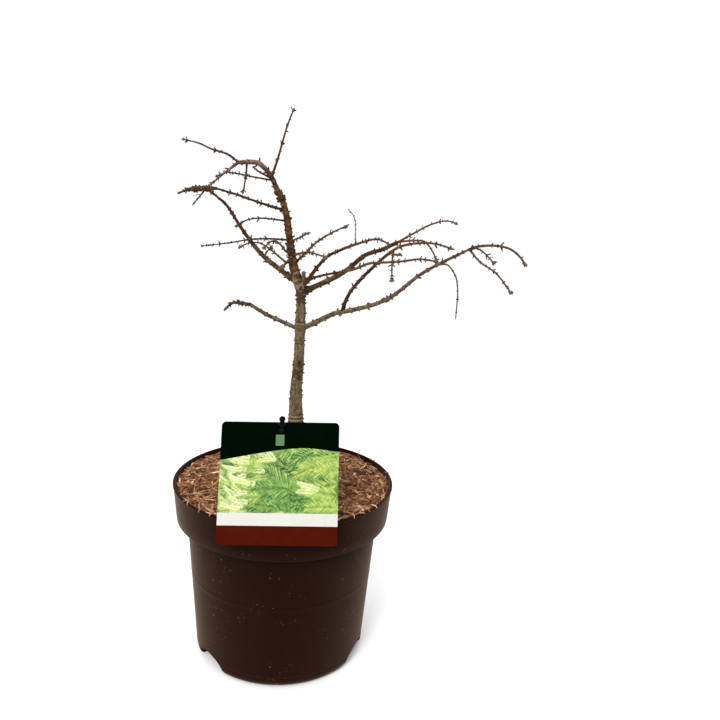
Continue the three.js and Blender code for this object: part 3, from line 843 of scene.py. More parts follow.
@dataclass
class BarkMulch:
    """The pot's filling: a bumpy bed of peat under thousands of bark shreds.

    Attributes are in millimetres and degrees.
    """

    top_height: float = 206.0
    sink: float = 1.4
    bed_foot: float = 172.0
    foot_radius: float = 119.2
    inner_radius: float = 122.4
    bed_sides: int = 220
    shreds: int = 5600
    wisps: int = 3200
    shares: tuple[float, ...] = (0.42, 0.27, 0.22, 0.09)
    trunk_foot: tuple[float, float] = (12.0, 0.0)
    trunk_clear: float = 13.0
    rim: float = 125.2
    rim_edge: float = 126.3
    rim_top: float = 209.7
    strays: tuple[float, ...] = (
        -142, -136, -129, -124, -121, -117, -64, -60, -56, -53, -49, -44, -38, -30, 12, 31, 38,
    )
    seed: int = 41

    def surface(self, radius: Array) -> Array:
        """Returns the bed's mean height at a distance from the pot's middle."""
        marks = [0, 34, 58, 84, 108, self.inner_radius]
        return self.top_height + np.interp(radius, marks, [0, 0, -0.3, -0.8, -1.7, -2.5])

    def bed(self) -> Piece:
        """Builds the bumpy bed, from its middle out and down a skirt inside the wall.

        Returns:
            The finished piece.
        """
        radii = np.concatenate([np.linspace(2, 118, 72), [120.5, self.inner_radius]])
        cosines, sines = circle(self.bed_sides)
        x, y = radii[:, None] * cosines, radii[:, None] * sines
        spot = np.stack([x, y, np.zeros_like(x)], axis=-1)
        rough = 1.5 * noise(spot / 9, 3) + 0.8 * noise(spot / 3.2, 4) + 0.4 * noise(spot / 1.4, 5)
        z = self.surface(radii)[:, None] + rough - self.sink
        places = np.stack([x, y, z], axis=-1).reshape(-1, 3)
        low = np.full(self.bed_sides, self.bed_foot)
        foot = np.stack([cosines * self.foot_radius, sines * self.foot_radius, low], axis=-1)
        middle = [[0.0, 0.0, self.top_height - self.sink], [0.0, 0.0, self.bed_foot]]
        # Dips get a low shade, bumps a high one and the skirt inside the wall the lowest: painted shade and
        # highlight.
        shade = np.clip(0.5 + rough / 4, 0, 1).reshape(-1)
        shade = np.concatenate([shade, np.zeros(self.bed_sides + 2)])
        batch = Batch()
        batch.add(np.concatenate([places, foot, middle]), tube_faces(len(radii) + 1, self.bed_sides), shade)
        return finish_piece(batch.make("mulch_bed"), GROUND, "bark_mulch", "mulch")

    def add_shred(self, rng: Rng, batch: Batch, wisp: bool) -> None:
        """Adds one shred: a bent, twisted splinter that lies on the bed.

        Args:
            rng: The random draws.
            batch: What it is added to.
            wisp: Whether it is a thin fibre.
        """
        radius = (self.inner_radius - 1.5) * math.sqrt(rng.random())
        heading = rng.random() * 2 * math.pi
        length = min(rng.uniform(7, 20) if wisp else rng.gamma(3.2, 3.6) + 4.5, 34.0)
        width = min(rng.uniform(0.25, 0.6) if wisp else rng.gamma(2.6, 0.42) + 0.7, 4.2)
        thick = width * 0.8 if wisp else rng.uniform(0.35, 0.95)
        lie = rng.random() * math.pi
        if radius > self.inner_radius - length * 0.5:
            lie = heading + math.pi / 2 + rng.normal() * 0.35
        tilt = rng.normal() * (0.16 if wisp else 0.12)
        ahead = level(lie) * math.cos(tilt) + UP * math.sin(tilt)
        rows = 4 if wisp else 5
        t = np.linspace(-0.5, 0.5, rows)
        side = unit(np.cross(UP, ahead))
        line = level(heading) * radius + ahead * (t * length)[:, None]
        line += side * ((t * t - 0.08) * rng.normal() * length * 0.35)[:, None]
        line[:, 2] += self.surface(np.hypot(line[:, 0], line[:, 1])) + rng.uniform(-0.9, 1.7)
        line[:, 2] += (0.1 - t * t) * rng.normal() * 1.6
        away = np.hypot(line[:, 0] - self.trunk_foot[0], line[:, 1] - self.trunk_foot[1])
        if away.min() < self.trunk_clear:
            return
        reach = np.hypot(line[:, 0], line[:, 1])
        line[:, :2] *= np.minimum(1.0, (self.inner_radius - 0.4) / reach)[:, None]
        roll = rng.normal() * 0.5 + np.linspace(0, rng.normal() * 0.9, rows)
        taper = np.interp(np.abs(t), [0, 0.34, 0.5], [1, 0.86, rng.uniform(0.12, 0.55)])
        lean = np.cross(ahead, side)
        wide = (side * np.cos(roll)[:, None] + lean * np.sin(roll)[:, None]) * (width / 2 * taper)[:, None]
        deep = lean * np.cos(roll)[:, None] - side * np.sin(roll)[:, None]
        deep *= (thick / 2 * np.sqrt(taper))[:, None]
        corners = [(1, 0), (-0.5, 1), (-0.5, -1)]
        if not wisp:
            corners = [(1, 0.4), (0, 1), (-1, 0.3), (-0.9, -0.5), (0.9, -0.5)]
        shell = np.stack([line + (wide * x + deep * y) for x, y in corners], axis=1).reshape(-1, 3)
        places = np.concatenate([shell, line[:1] - ahead * 0.3, line[-1:] + ahead * 0.5])
        shade = np.clip(rng.normal(0.5, 0.2) + 0.1 * rng.normal(size=len(places)), 0, 1)
        batch.add(places, tube_faces(rows, len(corners)), shade)

    def add_strays(self, rng: Rng, batch: Batch) -> None:
        """Adds the few shreds and crumbs that hang over the rim.

        Args:
            rng: The random draws.
            batch: What they are added to.
        """
        for heading in self.strays:
            turn = math.radians(heading + rng.normal() * 1.5)
            out = level(turn)
            beside = np.array([-out[1], out[0], 0.0])
            length = rng.uniform(6, 13)
            t = np.linspace(0, 1, 5)
            lie = rng.normal() * 0.9
            ahead = out * math.cos(lie) + beside * math.sin(lie)
            line = out * self.rim + ahead * ((t - 0.55) * length * 0.75)[:, None]
            past = np.maximum(0, np.hypot(line[:, 0], line[:, 1]) - self.rim_edge)
            line[:, 2] = self.rim_top + 0.5 * rng.random() - past * 0.9
            line[:, :2] *= (1 - np.maximum(0, past - 1.2) * 0.6 / 126)[:, None]
            radii = np.interp(t, [0, 0.5, 1], [0.35, rng.uniform(0.5, 0.9), 0.25])
            batch.tube(line, radii, 5, rng.uniform(0.3, 0.9), rng.random() * 3)

    def build(self) -> list[Piece]:
        """Builds and dresses the bed and its shreds.

        Returns:
            The finished pieces.
        """
        rng = np.random.default_rng(self.seed)
        kinds = list(Shredded)
        batches = {kind: Batch() for kind in kinds}
        for wisp, count in ((False, self.shreds), (True, self.wisps)):
            for _ in range(count):
                self.add_shred(rng, batches[kinds[rng.choice(len(kinds), p=self.shares)]], wisp)
        self.add_strays(rng, batches[Shredded.TAN])
        pieces = [self.bed()]
        for kind, batch in batches.items():
            piece = batch.make(f"mulch_{kind.name.lower()}_shreds", 45.0)
            pieces.append(finish_piece(piece, kind.value, "bark_mulch"))
        return pieces


# ---- label card and stake ----


@dataclass
class CardPlane:
    """Where the leaning card lies, in millimetres and degrees, as in the CAD source."""

    width: float = 122.0
    height: float = 125.0
    thick: float = 0.8
    corner: float = 4.5
    lean: float = 27.6
    turn: float = 2.2
    shift: float = 4.8
    overhang: float = 19.1
    rim_radius: float = 126.5
    rim_height: float = 209.0
    corner_steps: int = 8

    @property
    def rise(self) -> Array:
        """The direction straight up the card's face."""
        return np.array([0.0, math.sin(math.radians(self.lean)), math.cos(math.radians(self.lean))])

    @property
    def front(self) -> Array:
        """The direction out of the card's face."""
        return np.array([0.0, -self.rise[2], self.rise[1]])

    def up_card(self, distance: float) -> Array:
        """Returns the point that far up the card's back from where it rests on the rim."""
        rest = np.array([0.0, -self.rim_radius, self.rim_height]) + self.front * GAP
        return rest + distance * self.rise

    def at(self, flat: Array, out: Array | float) -> Array:
        """Lays points on the card.

        Args:
            flat: Places across and up from the card's middle, two numbers to a row.
            out: How far in front of the card's back they stand.

        Returns:
            Points in the part's frame.
        """
        turn = math.radians(self.turn)
        right = EAST * math.cos(turn) + self.rise * math.sin(turn)
        up = self.rise * math.cos(turn) - EAST * math.sin(turn)
        middle = self.up_card(self.height / 2 - self.overhang) + EAST * self.shift
        out = np.broadcast_to(np.asarray(out, float), (len(flat),))
        return middle + flat[:, :1] * right + flat[:, 1:2] * up + out[:, None] * self.front

    def outline(self, inset: float = 0.0) -> Array:
        """Returns the card's rounded outline, anticlockwise from the right.

        Args:
            inset: How far it stands inside the card's edge.

        Returns:
            Places across and up from the card's middle, two numbers to a row.
        """
        x, y, radius = self.width / 2 - self.corner, self.height / 2 - self.corner, self.corner - inset
        points = []
        for across, up, start in ((x, y, 0), (-x, y, 90), (-x, -y, 180), (x, -y, 270)):
            for step in range(self.corner_steps + 1):
                turn = math.radians(start + 90 * step / self.corner_steps)
                points.append((across + radius * math.cos(turn), up + radius * math.sin(turn)))
        return np.array(points)


@dataclass
class Sprig:
    """One feathery sprig in the card's picture, in millimetres and degrees on the card."""

    x: float
    y: float
    heading: float
    length: float
    leaflet: float
    bend: float
    ink: Ink


FRONT_SPRIGS = tuple(Sprig(*row) for row in (
    (61, 31, 196, 44, 10, -6, Ink.LEAF), (61, 22, 186, 46, 12, 6, Ink.LIME),
    (60, 12, 178, 42, 12, -6, Ink.LIME), (61, 0, 188, 34, 11, 6, Ink.LIME),
    (61, -12, 178, 36, 11, -6, Ink.LIME), (61, -25, 170, 34, 10, 6, Ink.LIME),
    (36, 34, 202, 30, 9, 6, Ink.DEEP), (22, 35, 192, 40, 11, -6, Ink.LEAF),
    (-6, 33, 190, 34, 9, 6, Ink.LEAF), (34, -12, 186, 34, 11, 6, Ink.DEEP),
    (30, -22, 180, 48, 12, -4, Ink.DEEP), (14, -29, 176, 40, 10, 4, Ink.LEAF),
    (14, -14, 186, 44, 12, -6, Ink.LEAF), (-4, -24, 182, 36, 9, -6, Ink.LEAF),
    (16, -9, 151, 40, 17, -4, Ink.LEAF), (12, -8, 172, 44, 13, 5, Ink.LEAF),
    (-14, 6, 155, 40, 10, -6, Ink.LEAF), (-22, -4, 172, 36, 9, 4, Ink.LEAF),
    (-18, -14, 184, 34, 9, 6, Ink.LIME), (-28, -22, 174, 32, 9, -4, Ink.LEAF),
    (-18, 22, 156, 26, 8, 6, Ink.LIME),
))
# Where each pale tuft is, how far it spreads across and up, and how many sprigs it has.
TUFTS = ((-30, 14, 20, 12, 17), (-44, -2, 14, 10, 13), (-46, -24, 13, 6, 11), (28, -12, 7, 10, 4))


@dataclass
class LabelCard:
    """The plant's card: a printed sheet with plain bands and a picture of evergreen-like sprays.

    Attributes are in millimetres on the card.
    """

    plane: CardPlane
    picture_top: tuple[tuple[float, float], ...] = (
        (-61, 22.1), (-45, 25.4), (-30, 28.3), (-12, 31.6), (6, 34.4), (18, 35.7), (27, 36.0), (38, 35.3),
        (50, 33.6), (61, 31.8),
    )
    picture_foot: float = -30.6
    white_foot: float = -43.3
    edge: float = 0.05
    rounding: float = 0.16

    def piece(
        self, name: str, rows: Sequence[tuple[Array, float]], smooth: float, finish: Finish, *nodes: str
    ) -> Piece:
        """Makes a flat piece of the card.

        Args:
            name: The piece's name.
            rows: Its outlines from back to front, each with its distance from the card's back.
            smooth: Edges sharper than this many degrees stay sharp.
            finish: What it is made of.
            *nodes: The CAD nodes that it replaces.

        Returns:
            The finished piece.
        """
        batch = Batch()
        places = np.concatenate([self.plane.at(outline, out) for outline, out in rows])
        batch.add(places, prism_faces(len(rows), len(rows[0][0])))
        return finish_piece(batch.make(name, smooth), finish, "card", *nodes)

    def panel(self, name: str, outline: Array, thick: float, ink: Ink, sunk: float = 0.02) -> Piece:
        """Returns a panel of ink, which stands so thick on the card's face and is sunk a little in it."""
        face = self.plane.thick
        return self.piece(name, [(outline, face - sunk), (outline, face + thick)], 30.0, ink.value)

    def band(self, low: float, high: float) -> Array:
        """Returns the part of the card's outline between two heights, closed straight across.

        Args:
            low: The lower height.
            high: The upper height.

        Returns:
            Places across and up from the card's middle, two numbers to a row.
        """
        outline = self.plane.outline(self.edge)
        inside = outline[(outline[:, 1] >= low) & (outline[:, 1] <= high)]
        half, straight = self.plane.width / 2 - self.edge, self.plane.height / 2 - self.plane.corner + 0.01
        corners = [(half, low), (half, high), (-half, high), (-half, low)]
        points = np.concatenate([inside.reshape(-1, 2), [c for c in corners if abs(c[1]) < straight]])
        middle = points.mean(axis=0)
        return points[np.argsort(np.arctan2(points[:, 1] - middle[1], points[:, 0] - middle[0]))]

    def header(self) -> Array:
        """Returns the header's outline: the card's top above the sweeping edge."""
        outline = self.plane.outline(self.edge)
        half = self.plane.width / 2 - self.edge
        x = np.linspace(-half, half, 41)
        y = np.interp(x, *np.array(self.picture_top).T)
        y = np.convolve(np.pad(y, 3, mode="edge"), np.ones(7) / 7, mode="valid")
        return np.concatenate([outline[outline[:, 1] > 40], np.stack([x, y], axis=-1)])

    def sprigs(self) -> list[Sprig]:
        """Returns the picture's sprigs, from the back to the front."""
        rng = np.random.default_rng(23)
        made, front = [], list(FRONT_SPRIGS)
        for _ in range(34):
            x, y = rng.uniform(-60, 60), rng.uniform(-34, 34)
            ink = rng.choice([Ink.DEEP, Ink.LEAF, Ink.DEEP])
            heading, length, leaflet = rng.uniform(140, 220), rng.uniform(20, 36), rng.uniform(6, 11)
            made.append(Sprig(x, y, heading, length, leaflet, rng.normal() * 8, ink))
        for x, y, wide, tall, count in TUFTS:
            for _ in range(count):
                ink = rng.choice([Ink.CREAM, Ink.CREAM, Ink.LIME])
                across, up = x + 8 + wide * rng.uniform(-1, 1), y + tall * rng.uniform(-1, 1)
                heading, length, leaflet = rng.normal(166, 14), rng.uniform(13, 20), rng.uniform(3.4, 5.0)
                front.append(Sprig(across, up, heading, length, leaflet, rng.normal() * 10, ink))
        for sprig in front:
            under = {Ink.LEAF: Ink.DEEP, Ink.CREAM: Ink.LIME}.get(sprig.ink, Ink.LEAF)
            longer = {"length": sprig.length + 1, "leaflet": sprig.leaflet + 0.7}
            made += [replace(sprig, x=sprig.x + 0.5, y=sprig.y - 0.9, ink=under, **longer), sprig]
        return made

    def add_sprig(self, sprig: Sprig, layer: float, rng: Rng, batch: Batch) -> None:
        """Adds the pairs of leaflets of one sprig.

        Args:
            sprig: The sprig.
            layer: How far it stands in front of the card's back.
            rng: The random draws.
            batch: What it is added to.
        """
        pale = sprig.ink is Ink.CREAM
        half, sweep = self.plane.width / 2 - 0.3, np.array(self.picture_top)
        lift = layer + np.array([0, 0.006, 0.006, 0, 0.006, 0.006])
        count = max(6, int(sprig.length / (1.2 if pale else 1.9)))
        for i in range(count):
            share = (i + 0.5) / count
            turn = math.radians(sprig.heading + sprig.bend * share * 2)
            stem = np.array([sprig.x, sprig.y]) + level(turn)[:2] * sprig.length * share
            full = 0.3 + 0.8 * math.sin(math.pi * (0.2 + 0.7 * share))
            reach = sprig.leaflet * full * rng.uniform(0.85, 1.1)
            for side in (1, -1):
                out = level(turn + math.radians(52 - 26 * share + rng.normal() * 5) * side)[:2]
                across = np.array([-out[1], out[0]]) * ((0.3 if pale else 0.5) * (1.1 - 0.35 * share))
                near, far, tip = (stem + out * reach * part for part in (0.35, 0.75, 1.0))
                slim = across * 0.8
                blade = np.array([stem, near + across, far + slim, tip, far - slim, near - across])
                top = np.interp(blade[:, 0], sweep[:, 0], sweep[:, 1]) + 3
                past = (np.abs(blade[:, 0]) > half) | (blade[:, 1] > top)
                if not past.any() and blade[:, 1].min() >= self.picture_foot - 3:
                    places = np.concatenate([self.plane.at(blade, lift - 0.03), self.plane.at(blade, lift)])
                    batch.add(places, prism_faces(2, 6), float(np.clip(rng.normal(0.55, 0.22), 0, 1)))

    def picture(self) -> list[Piece]:
        """Builds the sprigs of the picture, one piece for each ink."""
        batches = {ink: Batch() for ink in (Ink.DEEP, Ink.LEAF, Ink.LIME, Ink.CREAM)}
        rng = np.random.default_rng(7)
        for order, sprig in enumerate(self.sprigs()):
            self.add_sprig(sprig, 0.84 + 0.0012 * order, rng, batches[sprig.ink])
        made = {ink: batch.make(f"card_{ink.name.lower()}_sprays", None) for ink, batch in batches.items()}
        return [finish_piece(piece, ink.value, "card") for ink, piece in made.items()]

    def build(self) -> list[Piece]:
        """Builds and dresses the card and all that is printed on it.

        Returns:
            The finished pieces.
        """
        soft, thick = self.rounding, self.plane.thick
        levels = ((0.0, 0.0), (soft, 0.0), (thick - soft, 0.0), (thick, soft))
        rows = [(self.plane.outline(inset), out) for out, inset in levels]
        tab = np.array([(4.4, 37.9), (4.4, 49.3), (-4.4, 49.3), (-4.4, 37.9)])
        return [
            self.piece("label_sheet", rows, 40.0, CARD_PLASTIC, "label_card"),
            self.panel("card_meadow", self.band(self.picture_foot - 1, 37.0), 0.02, Ink.MEADOW),
            *self.picture(),
            self.panel("card_header", self.header(), 0.26, Ink.HEADER),
            self.panel("card_white_band", self.band(self.white_foot, self.picture_foot), 0.26, Ink.WHITE),
            self.panel("card_russet_band", self.band(-70, self.white_foot), 0.27, Ink.RUSSET),
            self.panel("card_tab", tab, 0.31, Ink.TAB, 0.0),
        ]


@dataclass
class LabelStake:
    """The black stake that the card hangs on. Sizes are in millimetres."""

    plane: CardPlane
    x: float = 4.3
    thick: float = 4.4
    sink: float = 45.0
    hole_from_top: float = 10.5
    head: float = 14.4
    knob: float = 6.4
    bar: float = 8.6
    ground: float = 206.0
    sides: int = 28

    def build(self) -> list[Piece]:
        """Builds and dresses the stake.

        Returns:
            The finished piece.
        """
        hole = self.plane.up_card(self.plane.height - self.plane.overhang - self.hole_from_top)
        axis = np.array([self.x, hole[1], 0.0])
        top, foot = hole[2] + self.head, self.ground - self.sink
        radius, knob, turns = self.thick / 2, self.knob / 2, np.linspace(-0.72, 1.45, 11)
        marks = [
            (foot, 0.4), (foot + 9, radius * 0.9), (hole[2] - 4, radius), (hole[2] + 5.5, radius),
            (top - 4.4, radius), (top - 3.9, radius * 1.18), (top - 3.1, radius * 1.18),
            (top - 2.7, radius * 0.72),
            *((top + knob * math.sin(t), max(0.25, knob * math.cos(t))) for t in turns),
        ]
        heights, radii = np.array(marks).T
        batch = Batch()
        batch.tube(axis + UP * heights[:, None], radii, self.sides)
        self.add_flange(batch, axis + UP * (hole[2] + 8.5), self.bar, self.thick * 0.8, 2.4)
        self.add_flange(batch, axis + UP * (hole[2] + 2.2), 6.4, 5.2, 3.2)
        return [finish_piece(batch.make("stake", 40.0), STAKE_PLASTIC, "stake_plastic", "label_stake")]

    def add_flange(self, batch: Batch, middle: Array, wide: float, deep: float, tall: float) -> None:
        """Adds a rounded bar across the stake.

        Args:
            batch: What it is added to.
            middle: Its middle.
            wide: Its width along X.
            deep: Its depth along Y.
            tall: Its height.
        """
        (x, y), rows = circle(32), []
        x, y = np.sign(x) * np.abs(x) ** 0.4, np.sign(y) * np.abs(y) ** 0.4
        for rise, share in ((-0.5, 0.86), (-0.36, 1.0), (0.36, 1.0), (0.5, 0.86)):
            flat = [x * wide / 2 * share, y * deep / 2 * share, np.full(32, rise * tall)]
            rows.append(np.stack(flat, axis=-1) + middle)
        places = np.concatenate([*rows, [middle - UP * tall / 2], [middle + UP * tall / 2]])
        batch.add(places, tube_faces(4, 32))


# ---- limbs ----


class Kind(Enum):
    """What sort of limb it is: its mesh's sides, the spacing of its rings and that of its fine buds."""

    TRUNK = (72, 0.55, 3.4)
    LEADER = (48, 0.55, 3.2)
    BOUGH = (26, 0.7, 5.0)
    SPRAY = (12, 0.9, 5.6)


@dataclass
class Course:
    """A smooth curve through points, walked by distance."""

    knots: Array
    dense: Array = field(init=False)
    marks: Array = field(init=False)
    headings: Array = field(init=False)

    def __post_init__(self) -> None:
        """Samples the centripetal curve finely."""
        p = self.knots
        p = np.concatenate([[2 * p[0] - p[1]], p, [2 * p[-1] - p[-2]]])
        t = np.linspace(0, 1, 41)[:, None]
        pieces = []
        for a, b, c, d in zip(p[:-3], p[1:-2], p[2:-1], p[3:]):
            u, v, w = (np.linalg.norm(y - x) ** 0.5 for x, y in ((a, b), (b, c), (c, d)))
            m = v * ((b - a) / u - (c - a) / (u + v) + (c - b) / v)
            n = v * ((c - b) / v - (d - b) / (v + w) + (d - c) / w)
            curve = b + m * t + (-3 * b + 3 * c - 2 * m - n) * t**2 + (2 * b - 2 * c + m + n) * t**3
            pieces.append(curve[:-1])
        self.dense = np.concatenate([*pieces, self.knots[-1:]])
        self.marks = np.concatenate([[0], np.cumsum(np.linalg.norm(np.diff(self.dense, axis=0), axis=1))])
        self.headings = unit(np.gradient(self.dense, self.marks, axis=0))

    @property
    def length(self) -> float:
        """The curve's length."""
        return float(self.marks[-1])

    def at(self, distance: Array | float) -> Array:
        """Returns the points at these distances along the curve."""
        return np.stack([np.interp(distance, self.marks, axis) for axis in self.dense.T], axis=-1)

    def heading(self, distance: Array | float) -> Array:
        """Returns the directions at these distances along the curve."""
        return unit(np.stack([np.interp(distance, self.marks, axis) for axis in self.headings.T], axis=-1))


@dataclass(frozen=True)
class Growth:
    """A limb as the source tells it.

    Attributes:
        on: The limb that it leaves.
        at: How far along that limb, or None where it goes on from its end.
        heading: Where it turns, in degrees about Z.
        thick: Its thickness at its start and its end, or pairs of a distance and a thickness.
        run: The length and the climb in degrees of each stretch.
        gap: The mean distance between its pairs of spurs.
        reach: How far its spurs stand out.
        sides: The side twigs that grow on it.
        bare: Whether it has no pairs of spurs.
        cut: Whether it was cut off.
    """

    on: str
    at: float | None
    heading: float
    thick: tuple
    run: tuple
    gap: float = 16.0
    reach: float = 2.8
    sides: tuple["Growth", ...] = ()
    bare: bool = False
    cut: bool = False


@dataclass
class Limb:
    """One limb: a curve and how thick it is along it, with a collar where it leaves another limb."""

    name: str
    kind: Kind
    growth: Growth
    course: Course
    thick: tuple[tuple[float, float], ...]
    collar: bool
    sides: list["Limb"] = field(default_factory=list)
    samples: Array = field(init=False)
    radii: Array = field(init=False)

    def __post_init__(self) -> None:
        """Samples the limb to keep spurs of others clear of it."""
        steps = math.ceil(self.course.length / 2)
        marks = np.linspace(0, self.course.length, steps + 1)
        self.samples, self.radii = self.course.at(marks), self.radius(marks)

    @property
    def skin(self) -> BarkTone:
        """The limb's bark, which is dealt out by where it grows."""
        if self.name in TONES:
            return TONES[self.name]
        if self.kind is Kind.BOUGH:
            return BarkTone.HIGH_BOUGH
        if self.name.startswith(GREY_SPRAYS):
            return BarkTone.GREY
        return BarkTone.UMBER if self.name.startswith(UMBER_SPRAYS) else BarkTone.RUSSET

    @property
    def shaggy(self) -> bool:
        """Whether its spurs stand close."""
        return self.kind is Kind.SPRAY and self.growth.gap <= 6.5

    def radius(self, distance: Array | float) -> Array:
        """Returns the radius at a distance, with the collar where it leaves another limb."""
        at, across = np.array(self.thick).T
        collar = 1 + 0.3 * np.exp(-np.maximum(distance, 0) / 4) if self.collar else 1.0
        return np.interp(distance, at, across) / 2 * collar

    def leaning(self, distance: float, turn: float, lean: float) -> Array:
        """Returns a direction that leans out from the limb's own at a turn about it."""
        ahead = self.course.heading(min(distance, self.course.length))
        side = np.cross(UP, ahead)
        side = EAST if side @ side < 1e-4 else unit(side)
        side = side * math.cos(turn) + np.cross(ahead, side) * math.sin(turn)
        return unit(ahead * math.cos(lean) + side * math.sin(lean))


TRUNK_GIRTH = (
    (0, 27), (8, 22.5), (22, 20), (50, 18.4), (73, 17.4), (88, 14.9), (108, 13.2), (135, 12), (165, 10.8),
    (177, 11.2), (184, 12.6), (190, 11), (212, 9.6), (222, 10.6), (232, 12), (240, 11), (247, 9.8),
)
LEADER_GIRTH = ((0, 9.9), (14, 8.8), (30, 7.4), (60, 7), (80, 6), (100, 5), (114, 5.2))
TOP_LEFT_GIRTH = ((0, 2.6), (8, 4.4), (24, 4.2), (32, 1.8), (40, 1.2))

WOOD: dict[str, Growth] = {
    "trunk": Growth("", None, 180, TRUNK_GIRTH, (
        (35, 89), (38, 90), (39, 89), (20, 94), (46, 91), (23, 90), (21, 88), (10, 77), (14, 68)), 18, 1.8),
    "leader": Growth("trunk", None, 176, LEADER_GIRTH, (
        (20, 80), (22, 80), (19, 80), (17, 72), (11, 60), (14, 65), (11, 49)), 13, 2.6),
    "leader_arch": Growth("leader", None, 195, (5, 4), ((9, 35), (10, 3), (10, -6)), 9, 3),
    "bough_low_left": Growth("trunk", 180, 198, (4.6, 3.7), ((20, 24), (23, 25), (20, 32))),
    "bough_low_right": Growth("trunk", 180, 346, (5.4, 2.4), (
        (19, 29), (27, 29), (15, 15), (30, 19), (22, 29), (37, 42), (23, 34), (35, 30))),
    "bough_rising_right": Growth("bough_low_right", 54, 340, (3.4, 2.5), (
        (12, 76), (12, 65), (13, 54), (24, 48), (24, 44))),
    "bough_high_right": Growth("trunk", 221, 20, (5.8, 3.6), (
        (36, 24), (21, 29), (29, 38), (21, 18), (19, 25))),
    "bough_front_right": Growth("trunk", 226, 334, (2.9, 2.2), ((15, 42), (11, 28), (29, 16))),
    "bough_back_right": Growth("trunk", 229, 42, (4, 2.7), ((15, 31), (11, 47), (22, 41), (25, 20))),
    "bough_high_left": Growth("trunk", 231, 162, (6.2, 2.5), (
        (28, 31), (21, 32), (22, 43), (23, 49), (27, 52), (17, 36))),
    "bough_top_left": Growth("leader", 65, 207, (2.8, 2.2), ((33, 15), (22, 17), (24, 14))),
}


def spray(on: str, at: float | None, heading: float, thick: tuple, run: tuple, gap: float = 19.0,
          reach: float = 3.2, sides: tuple = (), bare: bool = False, cut: bool = False) -> Growth:
    """Returns a spray's growth, with the spurs of a young twig."""
    return Growth(on, at, heading, thick, run, gap, reach, sides, bare, cut)


SPRAYS: dict[str, Growth] = {
    "spray_low_left": spray("bough_low_left", None, 198, (3.3, 1.6), ((19, 4), (12, -42)), 6, 1.8),
    "spray_low_right": spray("bough_low_right", None, 346, (2.3, 1.6), (
        (10, 23), (19, 6), (14, -10), (13, -35), (10, -52)), sides=(
        spray("", 0.5, 318, (1.7, 1.2), ((18, -38), (22, -24), (27, -41))),
        spray("", 6, 20, (1.3, 1.1), ((9, -21), (21, -38))))),
    "spray_drooping": spray("bough_low_right", 172, 330, (1.6, 1), (
        (11, 8), (14, -44), (14, -73), (32, -89)), 26, 1),
    "spray_rising_right": spray("bough_rising_right", None, 340, (2.2, 1.2), (
        (14, 34), (20, 15), (18, 3), (20, -11)), sides=(
        spray("", 6, 280, (1.6, 1.1), ((15, -99), (18, -76))),
        spray("", 2, 320, (1.7, 1.3), ((7, -14), (7, 6)), 20, 1))),
    "spray_high_right": spray("bough_high_right", None, 20, (2.1, 1.1), (
        (21, 29), (22, 27), (21, 14), (14, -12)), sides=(
        spray("", 1, 350, (1.7, 1.1), ((20, 8), (9, -3), (15, -46), (12, -65))),)),
    "spray_front_right": spray("bough_front_right", None, 334, (2, 1.2), (
        (17, 16), (19, 24), (16, 9), (22, 9), (18, 12), (20, -1)), 11, 2.8),
    "spray_back_right": spray("bough_back_right", None, 42, (2.4, 1.2), (
        (27, 13), (25, 8), (20, -17)), 10, 2.6, (
        spray("", 18, 225, (1.3, 1), ((30, 84), (15, 43)), bare=True),)),
    "spray_high_left": spray("bough_high_left", None, 162, (2.4, 1.6), (
        (13, 25), (18, -7)), 6.5, 2.4, (spray("", 14, 190, (1.4, 1), ((23, -52),)),)),
    "spray_inner_left": spray("leader", 14.5, 205, (2.6, 1.8), ((8, -38), (8, -50)), sides=(
        spray("", 9, 145, (1.8, 1.1), ((13, 28), (11, 27), (10, 23), (9, 16), (15, -5), (18, -21))),)),
    "spray_fork": spray("bough_high_left", 49.5, 30, (1.5, 1.2), ((6, 68), (9, 46))),
    "spray_snag": spray("trunk", 229, 335, (3.4, 3.4), ((7, 48), (11, 90)), 30, 1, cut=True),
    "spray_behind": spray("leader", 7, 55, (2.4, 1.2), ((19, 29), (27, 30), (27, 19), (31, 14))),
    "spray_left_front": spray("leader", 16, 235, (1.8, 1.2), (
        (14, 30), (10, 41), (7, 28), (11, 0), (11, -36)), 9, 2),
    "spray_right_front": spray("leader", 17, 318, (2.4, 1.1), ((27, 13), (13, -4), (14, -6)), 8, 2),
    "spray_right_middle": spray("leader", 32, 300, (1.7, 1.1), ((22, 15), (24, 18))),
    "spray_left_middle": spray("leader", 33.5, 145, (2.2, 1), ((36, -3), (27, -8), (30, -12), (47, -10))),
    "spray_left_upper": spray("leader", 54, 218, (1.7, 1.1), ((33, 5), (16, -6), (16, -27))),
    "spray_top_left": spray("bough_top_left", None, 207, TOP_LEFT_GIRTH, (
        (18, -2), (12, -9), (10, -22)), 5, 2),
    "spray_top_front": spray("leader", 100.5, 215, (1.8, 1.1), ((20, 24), (7, 38))),
    "spray_top_back": spray("leader", 99, 150, (1.6, 1.1), ((24, 5), (31, 6), (10, -1), (16, -18))),
    "spray_top": spray("leader", 103, 40, (2.2, 1.1), ((23, 70), (36, 72), (18, 65))),
    "spray_arch_hanging": spray("leader_arch", 21, 250, (1.8, 1.1), ((12, -85), (22, -72))),
    "spray_arch_left": spray("leader_arch", None, 155, (2.6, 1.2), (
        (16, 29), (22, 13), (17, 18), (23, 9)), sides=(
        spray("", 0.5, 215, (2.8, 1.4), ((14, -36), (9, -36), (20, -39))),)),
}

